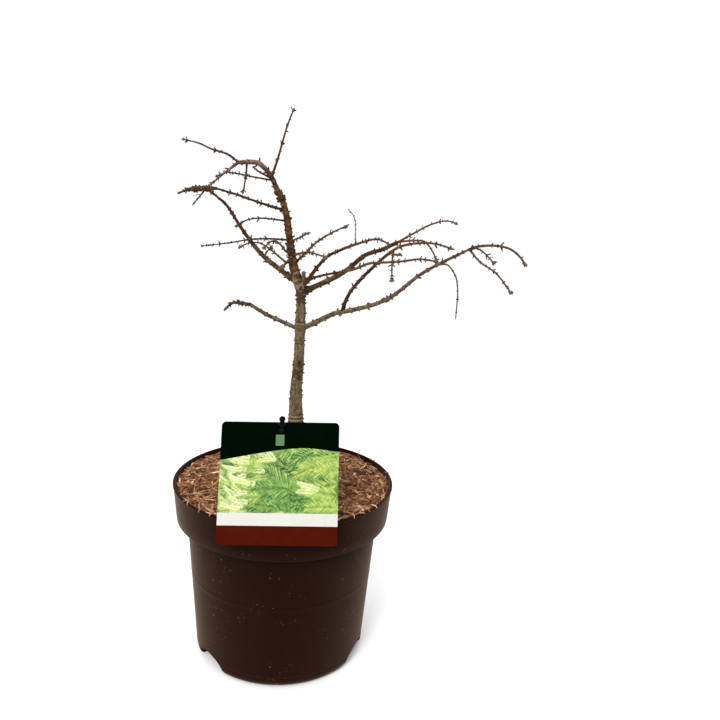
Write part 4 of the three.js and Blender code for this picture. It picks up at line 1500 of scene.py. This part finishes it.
# The barks of limbs by name. A young end is the outer half of a bough.
TONES = {
    "trunk": BarkTone.STEM, "leader": BarkTone.LEADER, "leader_arch": BarkTone.ARCH,
    "spray_arch_left.0": BarkTone.ARCH, "bough_low_left": BarkTone.LOW_BOUGH,
    "bough_low_right": BarkTone.LOW_BOUGH, "spray_snag": BarkTone.LOW_BOUGH,
    "bough_high_right": BarkTone.FORK_BOUGH, "bough_high_left": BarkTone.FORK_BOUGH,
}
YOUNG_ENDS = {
    "bough_low_right": BarkTone.YOUNG_BOUGH, "bough_high_right": BarkTone.HIGH_BOUGH,
    "bough_high_left": BarkTone.HIGH_BOUGH,
}
GREY_SPRAYS = ("spray_drooping", "spray_back_right.0")
UMBER_SPRAYS = (
    "spray_low_left", "spray_top", "spray_arch_hanging", "spray_arch_left", "spray_left_upper",
    "spray_left_middle", "spray_high_left",
)
# How much thicker or thinner the mesh is than the source's rule gives.
GIRTHS = {
    "bough_low_right": 1.08, "bough_rising_right": 1.2, "bough_high_right": 1.12, "bough_back_right": 1.1,
    "spray_rising_right": 1.14, "spray_rising_right.1": 1.2, "spray_front_right": 1.2,
    "spray_back_right": 1.18, "spray_high_right.0": 1.12, "spray_drooping": 1.1, "spray_low_left": 0.94,
    "spray_arch_left": 0.86, "spray_left_middle": 0.86, "spray_left_upper": 0.93,
    "spray_arch_hanging": 0.94, "spray_arch_left.0": 0.94,
}
# Where old spurs crowd: the limb, how many, from and to what distance, and their size.
CLUSTERS = (
    ("leader", 30, 1, 30, 1.2), ("leader", 9, 75, 79, 1.9), ("leader", 8, 48, 60, 1.1),
    ("bough_high_right", 16, 4, 10, 1.5), ("bough_front_right", 8, 4, 9, 1.0),
    ("bough_back_right", 9, 4, 9, 1.1), ("bough_high_left", 9, 5, 14, 1.1), ("bough_top_left", 5, 3, 7, 0.9),
    ("bough_rising_right", 7, 3, 8, 0.9), ("spray_low_right", 10, 0, 5, 1.2),
    ("bough_low_right", 9, 100, 107, 1.2), ("spray_low_left", 16, 0, 17, 1.1),
    ("trunk", 12, 225, 245, 1.2), ("trunk", 20, 122, 150, 0.9), ("trunk", 60, 30, 215, 0.6),
    ("leader_arch", 7, 8, 29, 0.9),
)
SHOOTS = {"spray_high_left.0": 5}  # the fine dry shoots on a twig
FIRST_TRUNK_SPUR = 84.0
# The trunk's ring scars: how far up, and how high they stand.
SCARS = ((71, 0.8), (75.5, 0.8), (80, 0.7), (163, 0.5), (187, 0.7), (213, 0.8), (219, 0.4), (236, 0.4))
LEADER_RINGS = (3, 11, 26, 41, 50, 63, 72, 88, 99)
# The trunk's dark bands: how far up, how wide, and how dark.
BANDS = ((135, 13, 0.22), (213, 4, 0.5), (221, 5, 0.35), (240, 9, 0.25), (163, 1.5, 0.2))


@dataclass
class Redwood:
    """The tree: a stem, its boughs and its sprays, each bare, budded and rough with spurs."""

    foot: Point = (12.0, 0.0, 206.3)
    clearance: float = 1.2
    rng: Rng = field(default_factory=lambda: np.random.default_rng(5))
    limbs: dict[str, Limb] = field(default_factory=dict)
    spurs: Batch = field(default_factory=Batch)
    buds: Batch = field(default_factory=Batch)
    twigs: dict[BarkTone, Batch] = field(default_factory=dict)

    # -- the source's rule --

    def grow(self, name: str, growth: Growth, kind: Kind, parent: Limb | None) -> Limb:
        """Lays out one limb and its side twigs.

        Args:
            name: The limb's name.
            growth: How it grows.
            kind: What sort of limb it is.
            parent: What it leaves, or None for the trunk.

        Returns:
            The limb.
        """
        start, leaves = np.array(self.foot), growth.at is not None
        if parent and leaves:
            start = parent.course.at(growth.at)
        elif parent:
            end = parent.course.length
            start = parent.course.at(end) + parent.course.heading(end) * (GAP + 0.05)
        turn, knots = math.radians(growth.heading), [start]
        for length, climb in growth.run:
            rise = math.radians(climb)
            knots.append(knots[-1] + (level(turn) * math.cos(rise) + UP * math.sin(rise)) * length)
        course, thick = Course(np.array(knots)), growth.thick
        if not isinstance(thick[0], tuple):
            thick = ((0, thick[0]), (course.length, thick[1]))
        limb = self.limbs[name] = Limb(name, kind, growth, course, thick, parent is not None and leaves)
        limb.sides = [self.grow(f"{name}.{i}", side, kind, limb) for i, side in enumerate(growth.sides)]
        return limb

    def is_clear(self, root: Array, direction: Array, length: float, own: Limb) -> bool:
        """Returns whether a straight spur keeps clear of every limb but its own."""
        places = [root + direction * length * reach for reach in (0.5, 1.0)]
        return not any(
            np.any(np.linalg.norm(limb.samples - place, axis=1) < limb.radii + self.clearance)
            for limb in self.limbs.values() if limb is not own for place in places
        )

    # -- small growth --

    def add_peg(self, batch: Batch, line: Array, widths: Array, *shades: float) -> None:
        """Adds a six-sided tube at a random turn, with a shade for each ring and then for both ends."""
        shade = np.concatenate([np.repeat(shades[:-2], 6), shades[-2:]])
        batch.tube(line, widths, 6, shade, self.rng.random() * 6)

    def add_spur(self, root: Array, direction: Array, length: float, limb: Limb, radius: float) -> None:
        """Adds a short spur: a bent peg with a small bud of scales at its end.

        Args:
            root: A point on the limb's line.
            direction: Where it points.
            length: From the line to its tip.
            limb: What it grows on.
            radius: The limb's radius there.
        """
        rng = self.rng
        thin = min(1.05, 0.54 + radius * 0.14) * rng.uniform(0.85, 1.15)
        onward = limb.course.heading(0.5 * limb.course.length)
        bend = unit(direction + onward * 0.25 + rng.normal(size=3) * 0.18)
        t, reach = np.linspace(0, 1, 6)[:, None], max(1.0, length - radius * 0.5 - 0.7)
        line = root + direction * radius * 0.5 + direction * (t * reach)
        line += (bend - direction) * (t * t * reach * 0.5)
        widths = thin * np.array([1.8, 1.3, 1.0, 1.0, 1.15, 1.0]) * (1 + 0.12 * rng.normal(size=6))
        self.add_peg(self.spurs, line, widths, 0.35, 0.5, 0.45, 0.55, 0.62, 0.6, 0.4, 0.6)
        ahead = unit(line[-1] - line[-2])
        self.add_bud(line[-1] - ahead * 0.25, ahead, rng.uniform(1.0, 1.5), thin * 1.15)

    def add_bud(self, root: Array, direction: Array, length: float, radius: float) -> None:
        """Adds one pointed bud, ringed by the edges of its scales.

        Args:
            root: Its foot.
            direction: Where it points.
            length: Its length.
            radius: Its greatest radius.
        """
        t = np.array([0.0, 0.16, 0.36, 0.42, 0.66, 0.72, 0.9, 1.0])
        wide = np.array([0.62, 0.95, 1.05, 0.88, 0.84, 0.66, 0.34, 0.1]) * radius
        line = root + direction * (t * length)[:, None]
        self.add_peg(self.buds, line, wide, 0.2, 0.45, 0.9, 0.3, 0.85, 0.35, 0.75, 0.9, 0.3, 0.8)

    def add_knob(self, root: Array, direction: Array, length: float, radius: float) -> None:
        """Adds the blunt, woody stub of an old spur.

        Args:
            root: Its foot.
            direction: Where it points.
            length: Its length.
            radius: Its radius.
        """
        t = np.array([0, 0.4, 0.75, 0.93, 1.0])
        line = root + direction * (t * length)[:, None] + self.rng.normal(size=3) * (t * t)[:, None] * 0.18
        widths = radius * np.array([1.5, 1.1, 1.0, 0.86, 0.45]) * (1 + 0.15 * self.rng.normal(size=5))
        self.add_peg(self.spurs, line, widths, 0.3, 0.45, 0.55, 0.7, 0.6, 0.3, 0.5)

    def add_tip(self, limb: Limb, spread: float) -> None:
        """Adds the buds that end a twig: one straight on, two beside it and a few below, on a swollen tip.

        Args:
            limb: The twig.
            spread: Where the two beside stand, in radians about it.
        """
        rng, course, end = self.rng, limb.course, limb.course.length
        tip, ahead, radius = course.at(end - 2.4), course.heading(end), float(limb.radius(end))
        if limb.skin is BarkTone.GREY:
            self.add_bud(tip, ahead, 3.0, radius + 0.15)
            return
        full = {BarkTone.RUSSET: 1.25, BarkTone.UMBER: 0.72}.get(limb.skin, 1.0)
        self.add_bud(tip, ahead, 3.3 * full, min(1.15, radius + 0.45) * full)
        for half in (0.0, math.pi):
            out = limb.leaning(end, spread + half, 0.75)
            self.add_bud(tip + out * 0.3, out, 3.3 * full * rng.uniform(0.85, 1.1), 0.95 * full)
        for _ in range(5):
            out = limb.leaning(end, rng.random() * 2 * math.pi, rng.uniform(0.8, 1.4))
            root = course.at(end - rng.uniform(1.8, 4.6)) + out * radius * 0.5
            self.add_bud(root, out, rng.uniform(1.5, 2.6) * full, 0.7 * full)

    def add_shoot(self, limb: Limb) -> None:
        """Adds a fine dry shoot, bent by its own draws, with a bud at its tip.

        Args:
            limb: The twig that it leaves.
        """
        rng, t = self.rng, np.linspace(0, 1, 8)
        distance = rng.uniform(4, 19)
        out = limb.leaning(distance, rng.random() * 2 * math.pi, rng.uniform(0.6, 1.5))
        length, wave = rng.uniform(5, 8), rng.normal(size=3) * 0.3
        line = limb.course.at(distance) + (out * t[:, None] + wave * (t * t)[:, None]) * length
        line += np.sin(t * 7 + rng.random() * 6)[:, None] * rng.normal(size=3) * 0.18
        self.twigs[limb.skin].tube(line, np.interp(t, [0, 0.1, 1], [0.55, 0.36, 0.24]), 6)
        self.add_bud(line[-1], unit(line[-1] - line[-2]), 1.1, 0.36)

    def dress_limb(self, limb: Limb, random: Draw) -> list[float]:
        """Adds a limb's spurs by the source's rule, and finer pairs between them.

        Args:
            limb: The limb.
            random: The source's draws.

        Returns:
            The distances of its pairs.
        """
        pairs, growth = [], limb.growth
        if not growth.bare:
            quarter = int(random() * 2)
            first = FIRST_TRUNK_SPUR if limb.kind is Kind.TRUNK else growth.gap * 0.6
            distance = first + random() * growth.gap * 0.4
            while distance < limb.course.length - 2:
                root, radius = limb.course.at(distance), float(limb.radius(distance))
                spread = quarter * math.pi / 2 + (random() - 0.5) * 0.5
                for half in (0.0, math.pi):
                    lean = 0.85 + random() * 0.35
                    length = radius + growth.reach * (0.65 + random() * 0.7)
                    direction = limb.leaning(distance, spread + half, lean)
                    if self.is_clear(root, direction, length, limb):
                        length += 1.0 if limb.kind is Kind.LEADER else 0.3
                        self.add_spur(root, direction, length, limb, radius)
                pairs.append(distance)
                quarter += 1
                distance += growth.gap * (0.8 + random() * 0.4)
        self.add_cluster(limb)
        self.dress_finely(limb)
        if limb.kind is Kind.SPRAY and not growth.cut:
            self.add_tip(limb, random() * math.pi)
        return pairs

    def add_cluster(self, limb: Limb) -> None:
        """Adds a limb's crowds of old spurs and its fine shoots.

        Args:
            limb: The limb.
        """
        rng = self.rng
        for name, count, start, stop, size in CLUSTERS:
            for _ in range(count if name == limb.name else 0):
                distance = rng.uniform(start, stop)
                out = limb.leaning(distance, rng.random() * 2 * math.pi, rng.uniform(0.8, 1.4))
                radius = float(limb.radius(distance))
                root = limb.course.at(distance) + out * radius * 0.5
                reach = radius * 0.5 + size * rng.uniform(0.9, 2.1)
                self.add_knob(root, out, reach, size * rng.uniform(0.7, 1.1))
        for _ in range(SHOOTS.get(limb.name, 0)):
            self.add_shoot(limb)

    def dress_finely(self, limb: Limb) -> None:
        """Carries the source's rule on to small opposite buds and knobs.

        Args:
            limb: The limb.
        """
        rng, twig, trunk = self.rng, limb.kind is Kind.SPRAY and not limb.shaggy, limb.kind is Kind.TRUNK
        young = 0.45 if limb.skin is BarkTone.GREY else 1.0
        missing = 0.45 if twig and limb.skin is BarkTone.UMBER else 0.3 if trunk else 0.18
        longest = 2.9 if limb.kind is Kind.LEADER else 1.9 if limb.shaggy else 1.5
        pace = limb.kind.value[2] * (0.5 if limb.shaggy else 1.0)
        distance = (30.0 if trunk else 2.0 + float(limb.radius(0))) + rng.random() * pace
        quarter = rng.integers(2)
        while distance < limb.course.length - 2:
            radius = float(limb.radius(distance))
            spread = quarter * math.pi / 2 + rng.normal() * 0.35
            for half in (0.0, math.pi):
                if rng.random() < missing:
                    continue
                lean = rng.uniform(0.9, 1.4)
                out = limb.leaning(distance + rng.normal() * 0.5, spread + half, lean)
                root = limb.course.at(distance) + out * radius * 0.6 / math.sin(lean)
                size, wide = rng.uniform(0.8, longest), rng.uniform(0.55, 1.05)
                if twig:
                    size, wide = (rng.uniform(0.8, 2.7) + 0.2) * young, wide * 0.62
                reach = radius * 0.4 / math.sin(lean) + size
                self.add_knob(root, out, reach, wide)
                if limb.skin is BarkTone.RUSSET:
                    self.add_bud(root + out * (reach - 0.4), out, 1.0, 0.6)
            quarter += 1
            distance += pace * rng.uniform(0.7, 1.35)

    # -- the limbs' own meshes --

    def surface(self, limb: Limb, pairs: list[float], seed: int) -> Surface:
        """Makes a limb's skin with the relief of its bark.

        Args:
            limb: The limb.
            pairs: Where its spurs are, for the swellings under them.
            seed: Picks its relief.

        Returns:
            Points, faces and the shade at each point.
        """
        sides, pace, _ = limb.kind.value
        course, length, growth = limb.course, limb.course.length, limb.growth
        lead = 0.0 if limb.kind is Kind.TRUNK else -1.2
        tail = 0.0 if limb.kind in (Kind.TRUNK, Kind.LEADER) else 0.4
        count = max(8, int(length / pace))
        s = np.linspace(lead, length + tail, count)
        inside = np.clip(s, 0, length)
        over = np.minimum(s, 0) + np.maximum(s - length, 0)
        centres = course.at(inside) + course.heading(inside) * over[:, None]
        base = limb.radius(inside)
        if limb.kind is Kind.SPRAY:
            thin = -0.1 if growth.bare else 0.0 if limb.skin is BarkTone.GREY else 0.16
            base = base * 1.08 + (0.2 if growth.cut else thin)
        elif limb.name == "leader_arch":
            base = base + 0.2
        base = base * GIRTHS.get(limb.name, 1.0)
        rough = self.relief(limb, s, base, np.stack(circle(sides), axis=-1), pairs, seed)
        radii = base[:, None] + rough
        radii[-1] *= 0.55
        radii[-2] *= 0.88
        # Low relief gets a low shade and high relief a high one, less the darkening along the limb: painted
        # shade and highlight.
        low, high = np.percentile(rough, [3, 97])
        shade = (rough - low) / max(high - low, 1e-6) - self.stain_and_fork_shade(limb, s)[:, None]
        shade = np.concatenate([np.clip(shade, 0, 1).reshape(-1), END_SHADES])
        return tube_points(centres, radii, sides), tube_faces(count, sides), shade

    def stain_and_fork_shade(self, limb: Limb, s: Array) -> Array:
        """Returns how much darker the bark is along a limb: in the trunk's wet bands and at its scars, and
        as painted shade at a fork.
        """
        if limb.kind is Kind.TRUNK:
            return sum(depth * np.exp(-(((s - at) / wide) ** 4)) for at, wide, depth in BANDS)
        if not limb.collar:
            return np.zeros(len(s))
        # The base of a limb that leaves another is darkened: painted shade of the fork.
        depth, reach = (0.6, 11) if limb.skin in (BarkTone.FORK_BOUGH, BarkTone.HIGH_BOUGH) else (0.35, 7)
        return depth * np.exp(-np.maximum(s, 0) / reach)

    def relief(self, limb: Limb, s: Array, base: Array, ring: Array, pairs: list[float], seed: int) -> Array:
        """Shapes the bark.

        Args:
            limb: The limb.
            s: The distance of each ring.
            base: The radius of each ring.
            ring: The direction of each side, two numbers to a row.
            pairs: Where its spurs are.
            seed: Picks its relief.

        Returns:
            How far the bark stands out at each ring and side, in millimetres.
        """
        reach = base[:, None, None] * ring[None]

        def bumps(wide: float, long: float, which: int) -> Array:
            """Returns noise whose bumps are so wide round the limb and so long along it."""
            along = np.broadcast_to(s[:, None, None] / long, (*reach.shape[:2], 1))
            return noise(np.concatenate([reach / wide, along], axis=-1) + seed * 7.31, seed + which)

        if limb.kind is Kind.SPRAY:
            rough = 0.07 * bumps(0.5, 1.6, 1) + 0.05 * bumps(0.4, 0.8, 2)
        elif limb.kind is Kind.BOUGH:
            rough = 0.16 * bumps(0.8, 5.0, 1) + 0.12 * bumps(0.6, 1.7, 2) + 0.16 * bumps(2.0, 5.0, 3)
        else:
            rough = 0.2 * bumps(0.8, 14.0, 1) + 0.12 * bumps(0.7, 2.4, 2) + 0.26 * bumps(3.2, 16.0, 3)
            foot = 0.35 + 0.65 * np.exp(-np.maximum(s, 0) / 22)
            knotty = np.clip((s - 203) / 14, 0, 1) if limb.kind is Kind.TRUNK else foot
            rough += knotty[:, None] * (0.7 * bumps(2.8, 3.4, 5) + 0.25 * bumps(1.2, 1.4, 6))
        for distance in pairs:
            rough += 0.22 * min(1.0, float(limb.radius(distance)) / 1.6) * swell(s - distance, 1.5)[:, None]
        if limb.kind is Kind.TRUNK:
            rough += self.stem_marks(s, base, ring)
        elif limb.kind is Kind.LEADER:
            for distance in LEADER_RINGS:
                rough += 0.4 * swell(s - distance, 1.3)[:, None]
        return rough

    def stem_marks(self, s: Array, base: Array, ring: Array) -> Array:
        """Shapes the trunk's ring scars, old stubs and root flare.

        Args:
            s: The distance of each ring.
            base: The radius of each ring.
            ring: The direction of each side, two numbers to a row.

        Returns:
            How far they stand out at each ring and side, in millimetres.
        """
        marks = np.zeros((len(s), len(ring)))
        for distance, height in SCARS:
            hollow = 0.5 * height * swell(s - distance - 1.5, 0.6)
            marks += (height * swell(s - distance, 0.8) - hollow)[:, None]
        rng = np.random.default_rng(17)
        for _ in range(260):
            distance, turn = rng.uniform(20, 244), rng.random() * 2 * np.pi
            width, height = rng.uniform(0.5, 1.2), rng.uniform(0.3, 1.0)
            across = np.linalg.norm((ring - level(turn)[:2])[None] * base[:, None, None], axis=-1)
            marks += height * swell(across, width) * swell(s - distance, width)[:, None]
        turns = np.arctan2(ring[:, 1], ring[:, 0])
        flare = 0.5 * np.cos(5 * turns + 0.6) + 0.35 * np.cos(3 * turns + 2.0)
        return marks + 1.5 * np.exp(-np.maximum(s, 0) / 9)[:, None] * flare

    def bark(self, surface: Surface, name: str, skin: BarkTone, *nodes: str) -> Piece:
        """Returns a finished piece of bark, which replaces these CAD nodes."""
        batch = Batch()
        batch.add(*surface)
        return finish_piece(batch.make(name, 80.0), skin.value, "bark", *nodes)

    def build_wood(self) -> list[Piece]:
        """Builds and dresses the stem and the boughs, some in an older and a younger half.

        Returns:
            The finished pieces.
        """
        pieces = []
        for index, name in enumerate(WOOD):
            limb = self.limbs[name]
            whole = self.surface(limb, self.dress_limb(limb, Draw(100 + index)), index + 1)
            if name in YOUNG_ENDS:
                places, _, shade = whole
                sides = limb.kind.value[0]
                rows = (len(places) - 2) // sides
                young = section(places, shade, sides, rows // 2, rows - 1)
                pieces.append(self.bark(young, f"{name}_young_bark", YOUNG_ENDS[name]))
                whole = section(places, shade, sides, 0, rows // 2)
            pieces.append(self.bark(whole, f"{name}_bark", limb.skin, name))
        return pieces

    def build_twigs(self) -> list[Piece]:
        """Builds and dresses the sprays, joined by tone.

        Returns:
            The finished pieces.
        """
        members: dict[BarkTone, list[str]] = {}
        for index, name in enumerate(SPRAYS):
            random, main_twig = Draw(200 + index), self.limbs[name]
            members.setdefault(main_twig.skin, []).append(name)
            for limb in (main_twig, *main_twig.sides):
                batch = self.twigs.setdefault(limb.skin, Batch())
                batch.add(*self.surface(limb, self.dress_limb(limb, random), 40 + index))
        pieces = []
        for skin, batch in self.twigs.items():
            piece = batch.make(f"twigs_{skin.name.lower()}", 80.0)
            pieces.append(finish_piece(piece, skin.value, "twig", *members.get(skin, [])))
        return pieces

    def build(self) -> list[Piece]:
        """Builds and dresses the whole tree.

        Returns:
            The finished pieces.
        """
        for name, growth in WOOD.items():
            kind = {"trunk": Kind.TRUNK, "leader": Kind.LEADER}.get(name, Kind.BOUGH)
            self.grow(name, growth, kind, self.limbs.get(growth.on))
        for name, growth in SPRAYS.items():
            self.grow(name, growth, Kind.SPRAY, self.limbs[growth.on])
        return [
            *self.build_wood(), *self.build_twigs(),
            finish_piece(self.spurs.make("spurs", 70.0), BarkTone.SPUR.value, "twig"),
            finish_piece(self.buds.make("winter_buds", 70.0), BUD_SCALES, "twig"),
        ]


# ---- studio ----


@dataclass
class Studio:
    """The pale floor, the soft lights and the camera.

    Attributes are in metres and degrees; the lens is for a sensor 36 mm across.
    """

    camera_place: Point = (0.0813, -0.8486, 0.5650)
    camera_pitch: float = 13.91
    camera_roll: float = 2.98
    lens: float = 38.96
    sensor: float = 36.0
    floor_rings: tuple[float, ...] = (0.05, 0.2, 0.3, 0.45, 0.6, 0.7)
    floor_sides: int = 96
    floor_drop: float = 0.0001
    low_sky: float = 0.32
    high_sky: float = 1.5
    backdrop: float = 1.04

    def build(self) -> None:
        """Builds the floor, lights, surroundings and camera."""
        self.build_floor()
        self.build_surroundings()
        self.add_light("key_softbox", (-0.58, -1.85, 1.5), (0.0, 0.0, 0.35), 0.9, 42.0)
        self.add_light("left_softbox", (-2.1, 0.5, 0.6), (0.0, 0.0, 0.2), 1.0, 2.0)
        self.add_light("back_softbox", (0.6, 1.9, 1.6), (0.0, 0.0, 0.3), 1.6, 5.0)
        self.build_camera()

    def build_floor(self) -> None:
        """Builds the floor, a round sheet a hair below the pot's foot."""
        count, sides = len(self.floor_rings), self.floor_sides
        radii, (x, y), j = np.array(self.floor_rings)[:, None] / MM, circle(sides), np.arange(sides)
        shell = np.stack([radii * x, radii * y, np.zeros((count, sides))], axis=-1).reshape(-1, 3)
        lid = np.stack([j, (j + 1) % sides, np.full(sides, count * sides)], axis=-1)
        batch = Batch()
        batch.add(np.concatenate([shell, [[0, 0, 0]]]), [rings_of(count, sides)[:, ::-1], lid])
        floor = batch.make("floor", None)
        floor.location.z = -self.floor_drop
        floor.data.materials.append(FLOOR.material())

    def build_surroundings(self) -> None:
        """Builds the white surroundings, which light the part most from above."""
        world = bpy.data.worlds.new("white_studio")
        world.use_nodes = True
        bpy.context.scene.world = world
        graph = Graph(world.node_tree)
        seen = graph.add("ShaderNodeLightPath").outputs["Is Camera Ray"]
        ahead = graph.add("ShaderNodeTexCoord").outputs["Generated"]
        height = graph.add("ShaderNodeSeparateXYZ", {0: ahead}).outputs["Z"]
        sky = graph.span(height, 0.1, 0.9, self.low_sky, self.high_sky)
        shown = graph.math("MAXIMUM", sky, graph.times(seen, self.backdrop))
        graph.feed(world.node_tree.nodes["Background"], {"Color": (1.0, 1.0, 1.0, 1.0), "Strength": shown})
        bpy.context.scene.view_settings.view_transform = "Standard"

    def add_light(self, name: str, place: Point, target: Point, size: float, power: float) -> None:
        """Adds a square soft light.

        Args:
            name: Its name.
            place: Where it is.
            target: Where it points.
            size: Its side.
            power: Its power in watts.
        """
        data = bpy.data.lights.new(name, "AREA")
        data.shape, data.size, data.energy = "SQUARE", size, power
        lamp = bpy.data.objects.new(name, data)
        lamp.location = place
        lamp.rotation_euler = (Vector(target) - Vector(place)).to_track_quat("-Z", "Y").to_euler()
        bpy.context.scene.collection.objects.link(lamp)

    def build_camera(self) -> None:
        """Builds the camera, tipped down and rolled a little."""
        pitch, roll = math.radians(self.camera_pitch), math.radians(self.camera_roll)
        ahead = Vector((0, math.cos(pitch), -math.sin(pitch)))
        across, over = Vector((1, 0, 0)), Vector((0, math.sin(pitch), math.cos(pitch)))
        right = across * math.cos(roll) + over * math.sin(roll)
        up = over * math.cos(roll) - across * math.sin(roll)
        data = bpy.data.cameras.new("camera")
        data.lens, data.sensor_width, data.clip_start = self.lens, self.sensor, 0.01
        camera = bpy.data.objects.new("camera", data)
        turn = Matrix((right, up, -ahead)).transposed().to_4x4()
        camera.matrix_world = Matrix.Translation(self.camera_place) @ turn
        bpy.context.scene.collection.objects.link(camera)
        bpy.context.scene.camera = camera


# ---- the whole part ----


def main() -> None:
    """Loads the frame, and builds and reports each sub-assembly in order."""
    logging.basicConfig(level=logging.INFO, format="%(name)s: %(message)s")
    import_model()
    plane = CardPlane()
    for part in (NurseryPot(), BarkMulch(), LabelCard(plane), LabelStake(plane), Redwood()):
        for piece in part.build():
            LOG.info("%s: %d faces", piece.name, len(piece.data.polygons))
    Studio().build()


if __name__ == "__main__":
    main()
